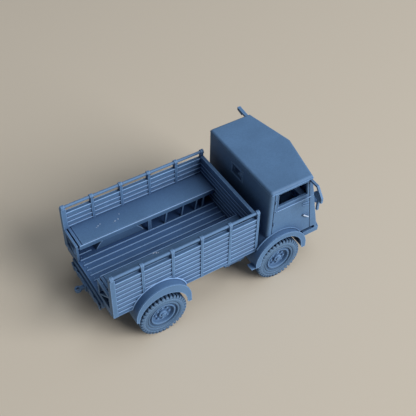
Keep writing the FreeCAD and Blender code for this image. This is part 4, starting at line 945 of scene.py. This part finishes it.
class AddArchLips(bpy.types.Operator):
    """Adds the deep lips of the wheel arches, their toes and the beads round them"""
    bl_idname = "truck_model.add_arch_lips"
    bl_label = "Arch Lips"

    def execute(self, context):
        bead = 0.2
        for end in ENDS:
            lip = ARCH_LIPS[end]
            for side_name, side in SIDES.items():
                trim(f"{end}_arch_lip_{side_name}", arch_lip(end, side_name, side))
                middle, level, radius = arch_circle(f"{end}_arch_{side_name}")
                line = arc((middle, level), radius + bead, *lip["bead_angles"])
                finished(f"{end}_arch_bead_{side_name}", side_tube(line, lip["bead_across"], side, bead),
                         lip["finish"])
        return {"FINISHED"}


def arch_lip(end, side_name, side):
    """The lip of one arch with its lower ends, and the front arch's step plate."""
    node_name = f"{end}_arch_{side_name}"
    low, high = low_high(node_name)
    inner, face = faces_across(node_name)
    middle, level, radius = arch_circle(node_name)
    lip = ARCH_LIPS[end]
    steps, crown_rise, sunk, proud = 44, 0.03, 0.02, 0.22
    angles = [pi * step / steps for step in range(steps + 1)]
    upper = [(middle + lip["shift"] + (radius + lip["spread"]) * cos(angle),
              level + (radius + crown_rise) * sin(angle)) for angle in angles]
    lower = [(middle + lip["mouth_shift"] + lip["mouth"] * cos(angle),
              level - lip["drop"] + lip["mouth"] * sin(angle)) for angle in angles]
    for edge, front_shift, rear_shift in ((upper, 0.05, 0.0), (lower, 0.35, -0.3)):
        edge.insert(0, (edge[0][0] + front_shift, level - lip["front_toe"]))
        edge.append((edge[-1][0] + rear_shift, level - lip["rear_toe"]))
    parts = [band(upper, lower, (face - sunk) * side, (face + proud) * side)]
    toe_thickness, toe_inset, lap = 0.4, 0.3, 0.1
    for x, toe in ((high.x, lip["front_toe"]), (low.x + toe_thickness, lip["rear_toe"])):
        parts.append(side_block((x - toe_thickness, inner + toe_inset, level - toe), (x, face, level + lap), side))
    if end == "front":
        step_inner, step_low, step_high = 13.4, 1.05, 0.85
        parts.append(side_block((low.x - 1.3, step_inner, level - step_low),
                                (low.x + 0.2, face + lap, level - step_high), side))
    return parts


class AddBoardTrim(bpy.types.Operator):
    """Adds the bed's strips, bolt heads and edge beads in a pale resin as painted highlights, its sills and the tail's
    details
    """
    bl_idname = "truck_model.add_board_trim"
    bl_label = "Bed Trim"

    def execute(self, context):
        low, high = low_high("bed_floor")
        pitch, start, top = 1.87, low.x + 0.7, high.z - 0.13
        strip = strip_shape("floor_strip", high.x - 0.8 - start)
        short = strip_shape("short_strip", 3.9)
        # The floor strips and bolt heads are in the pale resin: a painted highlight.
        strips = [row_of(strip, 7, (start, -3 * pitch, top), (0, pitch, 0), "up", "highlight_cast")]
        for side in SIDES.values():
            strips.append(row_of(short, 2, (start, 4 * pitch * side, top), (0, pitch * side, 0), "up", "highlight_cast"))
        trim("floor_strips", strips, "highlight_cast")
        bolt = dome_head("floor_bolt", context.scene.truck_fittings.rivet_radius)
        bolt_line, sunk = 1.25, 0.22
        dots = row_of(bolt, 8, (low.x + bolt_line, -3.5 * pitch, high.z - sunk), (0, pitch, 0), "up", "highlight_cast")
        finished("floor_bolts", dots, "highlight_cast")
        for side_name, side in SIDES.items():
            trim(f"bed_trim_{side_name}", side_trim(side_name, side), "bed_cast")
            trim(f"board_edges_{side_name}", board_edges(side_name, side), "highlight_cast")
        trim("headboard_edges", headboard_edges(), "highlight_cast")
        trim("tail_sill", tail_parts(), "chassis_cast")
        return {"FINISHED"}


def beside_arch(side_name, start, end, z, gap):
    """The stretches of a line along the boards that the rear arch leaves free, with a gap round the arch."""
    middle, level, radius = arch_circle(f"rear_arch_{side_name}")
    if abs(z - level) >= radius + gap:
        return [(start, end)]
    reach = sqrt((radius + gap) ** 2 - (z - level) ** 2)
    return [(start, middle - reach), (middle + reach, end)]


def side_trim(side_name, side):
    """A sill bead along the foot of the boards."""
    node_name = f"bed_side_{side_name}"
    low, high = low_high(node_name)
    face = faces_across(node_name)[1] + 0.02
    inset, rise, bead, gap = 0.1, 0.2, 0.19, 0.2
    return [side_tube([(start, low.z + rise), (end, low.z + rise)], face, side, bead)
            for start, end in beside_arch(side_name, low.x + inset, high.x - inset, low.z + 0.18, gap)]


def board_edges(side_name, side):
    """Beads on the upper edges of the boards, of the bench and of the wheel box on one side, cast pale as a painted
    highlight.
    """
    low, high = low_high(f"bed_side_{side_name}")
    inner, outer = faces_across(f"bed_side_{side_name}")
    bench_low, bench_high = low_high(f"bench_{side_name}")
    boards, edge_drop, top_drop, arch_gap, bead = 8, 0.26, 0.1, 0.1, 0.12
    pitch = (high.z - low.z) / boards
    start, end = low.x + 1.1, high.x - 0.05
    parts = []
    for number in range(1, boards + 1):
        z = low.z + pitch * number - (edge_drop if number < boards else top_drop)
        for first, last in beside_arch(side_name, start, end, z, arch_gap):
            parts.append(side_tube([(first, z), (last, z)], outer, side, bead))
        if z > bench_high.z:
            parts.append(side_tube([(start, z), (end, z)], inner, side, bead))
    bench_face = faces_across(f"bench_{side_name}")[0] + 0.05
    bench_inset, bench_drop, bench_bead = 0.1, 0.08, 0.13
    parts.append(side_tube([(bench_low.x + bench_inset, bench_high.z - bench_drop),
                            (bench_high.x - bench_inset, bench_high.z - bench_drop)], bench_face, side, bench_bead))
    box_name = f"rear_arch_{side_name}"
    middle, level, radius = arch_circle(box_name)
    parts.append(side_tube(arc((middle, level), radius - 0.06, 30, 150), faces_across(box_name)[0], side, bead))
    return parts


def headboard_edges():
    """Beads on the upper edges of the headboard's boards on both faces, cast pale as a painted highlight."""
    low, high = low_high("headboard")
    boards, cap, edge_drop, bead = 8, 0.6, 0.26, 0.11
    pitch = (high.z - cap - low.z) / boards
    reach = high.y - 0.05
    levels = [low.z + pitch * number - edge_drop for number in range(1, boards)]
    return [tube([(x, -reach, z), (x, reach, z)], bead) for z in levels for x in (low.x, high.x)]


def tail_parts():
    """The closed sill between the bed's tail and the cross member, and the brackets under it."""
    low, high = low_high("chassis_frame")
    reach, half = 8.1, 0.5
    parts = [block((low.x + 0.5, -reach, high.z - 2.4), (low.x + 1.3, reach, high.z - 0.02), 0.06)]
    for y in (-7.5, -4.8, 4.4, 6.6):
        parts.append(block((low.x - 0.12, y - half, high.z - 2.75), (low.x + 0.4, y + half, high.z - 1.0), 0.12))
    return parts


class AddFlecks(bpy.types.Operator):
    """Adds the loose flecks that casting left on the benches"""
    bl_idname = "truck_model.add_flecks"
    bl_label = "Flecks"

    def execute(self, context):
        trim("resin_flecks", flecks(), "fleck_and_glint_cast")
        return {"FINISHED"}


def flecks():
    """Loose flecks of resin on the bench tops."""
    level = low_high("bench_left")[1].z + 0.02
    stretch, turn_step = (1.3, 0.7, 0.3, 1), 1.1
    spots = [(-22.06, 9.28, 0.4), (-21.33, 9.63, 0.36), (-22.6, 9.0, 0.26), (-17.63, 8.6, 0.42), (-16.67, 8.83, 0.4),
             (-15.65, 10.25, 0.32), (-14.5, -5.75, 0.62), (-13.9, -6.0, 0.56), (-13.5, -6.2, 0.34)]
    parts = []
    for number, (x, y, size) in enumerate(spots):
        shape = bmesh.new()
        bmesh.ops.create_icosphere(shape, subdivisions=1, radius=size / 2 * MM)
        place = Matrix.Translation(Vector((x, y, level)) * MM)
        turn = Matrix.Rotation(number * turn_step, 4, "Z") @ Matrix.Diagonal(stretch)
        bmesh.ops.transform(shape, matrix=place @ turn, verts=shape.verts)
        parts.append(smooth(from_bmesh(shape, outward=True)))
    return parts


class AddCab(bpy.types.Operator):
    """Adds the cab's panels, doors, grille, lamps, bumper, mirrors and inside"""
    bl_idname = "truck_model.add_cab"
    bl_label = "Cab"

    def execute(self, context):
        wide = 0.12 * MM
        for name, width in (
                ("windscreen_frame", wide), ("nose_panel", wide), ("grille", None), ("cab_roof", None),
                ("cab_rear_wall", wide), ("door_left", wide), ("door_right", wide), ("cab_floor", None),
                ("seat_left", None), ("seat_right", None), ("dashboard", None), ("steering_wheel", None),
                ("headlamps", None), ("front_bumper", None), ("mirror_left", None), ("mirror_right", None)):
            cast(f"{name}_cast", name, "body_cast", width)
        return {"FINISHED"}


class AddCabTrim(bpy.types.Operator):
    """Adds the doors' ribs, beads, handles and hinges, the gutters and the undershield"""
    bl_idname = "truck_model.add_cab_trim"
    bl_label = "Cab Trim"

    def execute(self, context):
        for side_name, side in SIDES.items():
            door_trim(side_name, side)
        low, high = low_high("cab_roof")
        inset, front_end, rise, across, bead = 0.3, 26.3, 0.08, high.y - 0.02, 0.13
        trim("gutters", [side_tube([(low.x + inset, low.z + rise), (front_end, low.z + rise)], across, side, bead)
                         for side in SIDES.values()])
        finished("undershield", undershield(), "chassis_cast")
        return {"FINISHED"}


def door_trim(side_name, side):
    """A door's ribs, window bead, hinges, ridge in pale resin as a painted highlight, dark seam lines as painted shade,
    and lever in the pale fleck resin as a painted glint.
    """
    low, high = low_high(f"door_{side_name}")
    rib_face, window_edge, hinge_line, hinge_half = DOOR_FACE + 0.06, low.x + 1.0, low.x + 0.35, 0.45
    parts = [side_tube([(23.8, 22.95), (25.95, 22.5)], rib_face, side, 0.16),
             side_tube([(23.9, 22.1), (26.05, 21.55)], rib_face, side, 0.12),
             side_tube([(window_edge, 25.35), (window_edge, 29.7)], DOOR_FACE + 0.02, side, 0.12)]
    for z in (19.8, 27.6, 14.6):
        parts.append(side_tube([(hinge_line, z - hinge_half), (hinge_line, z + hinge_half)], rib_face, side, 0.2))
    trim(f"door_trim_{side_name}", parts)
    # The ridge is in the pale resin: a painted highlight.
    ridge = side_tube([(low.x + 0.9, 24.5), (26.2, 24.5)], DOOR_FACE + 0.27, side, 0.1)
    finished(f"door_ridge_{side_name}", ridge, "highlight_cast")
    # Dark lines laid in the seams stand for the shade in the gaps: painted shade.
    rear_line = low.x + 0.02
    seams = [side_tube(line, DOOR_FACE + 0.01, side, 0.08)
             for line in (((rear_line, 15.9), (rear_line, high.z - 0.15)), DOOR_FRONT)]
    trim(f"door_seams_{side_name}", seams, "seam_shade_cast")
    # The lever is in the pale fleck resin: a painted glint.
    lever = tube([(24.4, (DOOR_FACE + 0.38) * side, 18.7), (25.3, (DOOR_FACE + 0.46) * side, 17.95),
                  (26.25, (DOOR_FACE + 0.34) * side, 17.1)], 0.2)
    finished(f"door_lever_{side_name}", lever, "fleck_and_glint_cast")


def undershield():
    """A thin tray inside the bumper, pointed to the front."""
    half, rear, shoulder, point = 13.2, 25.8, 30.2, 33.0
    outline = [(rear, -half), (shoulder, -half), (point, 0), (shoulder, half), (rear, half)]
    shape = bmesh.new()
    skin(shape, [[Vector((x, y, z)) * MM for x, y in outline] for z in (9.4, 9.6)])
    return smooth(from_bmesh(shape, outward=True), radians(30))


class AddCabInside(bpy.types.Operator):
    """Adds the seats' pleats, the dashboard's dials, the pedals and the levers"""
    bl_idname = "truck_model.add_cab_inside"
    bl_label = "Cab Inside"

    def execute(self, context):
        for side_name in SIDES:
            trim(f"seat_pleats_{side_name}", seat_pleats(side_name))
        trim("dashboard_dials", dial_parts())
        trim("pedals_and_levers", pedal_parts())
        return {"FINISHED"}


def seat_pleats(side_name):
    """Raised pleats on a seat's cushion and back."""
    low, high = low_high(f"seat_{side_name}")
    middle = (low.y + high.y) / 2
    top, pleat = 18.02, 0.16
    parts = []
    for offset in (-2.3, -1.4, -0.5, 0.5, 1.4, 2.3):
        y = middle + offset
        parts.append(tube([(17.1, y, top), (high.x - 0.2, y, top), (high.x + 0.01, y, top - 0.25)], pleat))
        parts.append(tube([(16.84, y, 18.7), (16.42, y, high.z - 0.35)], pleat))
    return parts


def dial_parts():
    """The dials with their rims, and the lid of a glove box."""
    low, high = low_high("dashboard")
    level = (low.z + high.z) / 2 + 0.1
    rim, boss = 0.48, 0.16
    places = (3.9, 5.3, 6.7)
    parts = [hoop((low.x - 0.02, y, level), rim, 0.09, 16) for y in places]
    parts += [ball((low.x, y, level), (boss / 2, boss, boss), 8) for y in places]
    return parts + [block((low.x - 0.1, -9.4, low.z + 0.4), (low.x + 0.1, -5.4, high.z - 0.5), 0.08)]


def pedal_parts():
    """Three pedals on their rods, the gear lever with its knob and the hand brake."""
    ground = low_high("cab_floor")[1].z
    pedal_half, rod, knob, sunk = 0.4, 0.12, 0.36, 0.1
    gear_side, brake_side = 1.3, -0.9
    parts = []
    for y in (5.7, 7.0, 8.3):
        parts.append(block((24.3, y - pedal_half, ground + 0.9), (24.5, y + pedal_half, ground + 1.8), 0.07))
        parts.append(tube([(24.45, y, ground + 1.3), (25.6, y, ground + 3.2)], rod))
    gear_lever = [(20.5, gear_side, ground - sunk), (19.9, gear_side, ground + 2.4), (19.8, gear_side, ground + 4.0)]
    parts.append(tube(gear_lever, 0.15))
    parts.append(ball((19.8, gear_side, ground + 4.1), (knob, knob, knob), 12))
    parts.append(tube([(20.4, brake_side, ground - sunk), (18.8, brake_side, ground + 2.3)], 0.16))
    return parts


class AddFrontFittings(bpy.types.Operator):
    """Adds the headlamps' rims and lenses, the rivets of the nose and the bolts of the bumper"""
    bl_idname = "truck_model.add_front_fittings"
    bl_label = "Front Fittings"

    def execute(self, context):
        settings = context.scene.truck_fittings
        rivet = dome_head("nose_rivet", settings.rivet_radius)
        bolt = bolt_head("bumper_bolt", settings)
        edge_line, edge_foot, middle_bolts = 5.0, 14.0, 2.6
        rivet_pitch = 0.8
        rivets, bolts = [], []
        for side_name, side in SIDES.items():
            for z, first, count in ((23.75, 0.9, 15), (12.0, 1.2, 14)):
                step = (-NOSE_SWEEP * rivet_pitch, rivet_pitch * side, 0)
                rivets.append(row_of(rivet, count, (nose_face(first, z), first * side, z), step,
                                     f"nose_{side_name}", "body_cast"))
            spot = (nose_face(edge_line, edge_foot), edge_line * side, edge_foot)
            rivets.append(row_of(rivet, 9, spot, (-NOSE_LEAN, 0, 1.0), f"nose_{side_name}", "body_cast"))
            for y in (7.6, 8.3, 11.6, 12.3):
                spot = (BUMPER_FORWARD - BUMPER_SWEEP * (y - BUMPER_FLAT), y * side, BUMPER_UP)
                bolts.append(row_of(bolt, 1, spot, (0, 0, 0), f"bumper_{side_name}", "body_cast"))
        bolts.append(row_of(bolt, 2, (BUMPER_FORWARD + 0.02, -middle_bolts, BUMPER_UP), (0, 2 * middle_bolts, 0),
                            "front", "body_cast"))
        for name, parts in (("nose_rivets", rivets), ("bumper_bolts", bolts), ("lamp_lenses", lamp_parts())):
            trim(name, parts)
        return {"FINISHED"}


def lamp_parts():
    """Rims, domed lenses and upright flutes of both headlamps."""
    low, high = low_high("headlamps")
    level, reach = (low.z + high.z) / 2, (high.z - low.z) / 2
    lens, depth = reach - 0.28, 0.32
    seat = high.x - 0.25
    parts = []
    for side in SIDES.values():
        y = (high.y - reach) * side
        parts.append(hoop((high.x, y, level), reach - 0.13, 0.16))
        parts.append(ball((seat, y, level), (depth, lens, lens), 20))
        for offset in (-0.8, -0.4, 0, 0.4, 0.8):
            half = sqrt((reach - 0.3) ** 2 - offset ** 2) * 0.85
            bulge = seat + depth * sqrt(1 - (offset / lens) ** 2)
            parts.append(tube([(bulge - sunk, y + offset, level + half * share) for sunk, share in (
                (0.18, -1.0), (0.02, -0.5), (-0.01, 0.0), (0.02, 0.5), (0.18, 1.0))], 0.06, 6))
    return parts


class TruckPanel(bpy.types.Panel):
    """Shows the buttons that add the model's pieces, and the settings"""
    bl_idname = "VIEW3D_PT_resin_truck"
    bl_label = "Resin Truck"
    bl_space_type = "VIEW_3D"
    bl_region_type = "UI"
    bl_category = "Resin Truck"

    def draw(self, context):
        column = self.layout.column()
        for operator in OPERATORS:
            column.operator(operator.bl_idname)
        for settings in (context.scene.truck_stage, context.scene.truck_resin, context.scene.truck_fittings):
            for name in settings.__annotations__:
                column.prop(settings, name)


OPERATORS = (AddStage, AddFinishes, AddTyres, AddWheels, AddChassis, AddUnderside, AddBed, AddArchLips, AddBoardTrim,
             AddFlecks, AddCab, AddCabTrim, AddCabInside, AddFrontFittings)
SETTINGS = {"truck_stage": StageSettings, "truck_resin": ResinSettings, "truck_fittings": FittingSettings}


def register():
    """Registers the settings, the operators and the panel."""
    for name, group in SETTINGS.items():
        bpy.utils.register_class(group)
        setattr(bpy.types.Scene, name, bpy.props.PointerProperty(type=group))
    for item in (*OPERATORS, TruckPanel):
        bpy.utils.register_class(item)


def unregister():
    """Takes them away again."""
    for item in (TruckPanel, *reversed(OPERATORS)):
        bpy.utils.unregister_class(item)
    for name, group in SETTINGS.items():
        delattr(bpy.types.Scene, name)
        bpy.utils.unregister_class(group)


def main():
    """Makes every piece."""
    register()
    for operator in OPERATORS:
        category, action = operator.bl_idname.split(".")
        getattr(getattr(bpy.ops, category), action)()


if __name__ == "__main__":
    main()
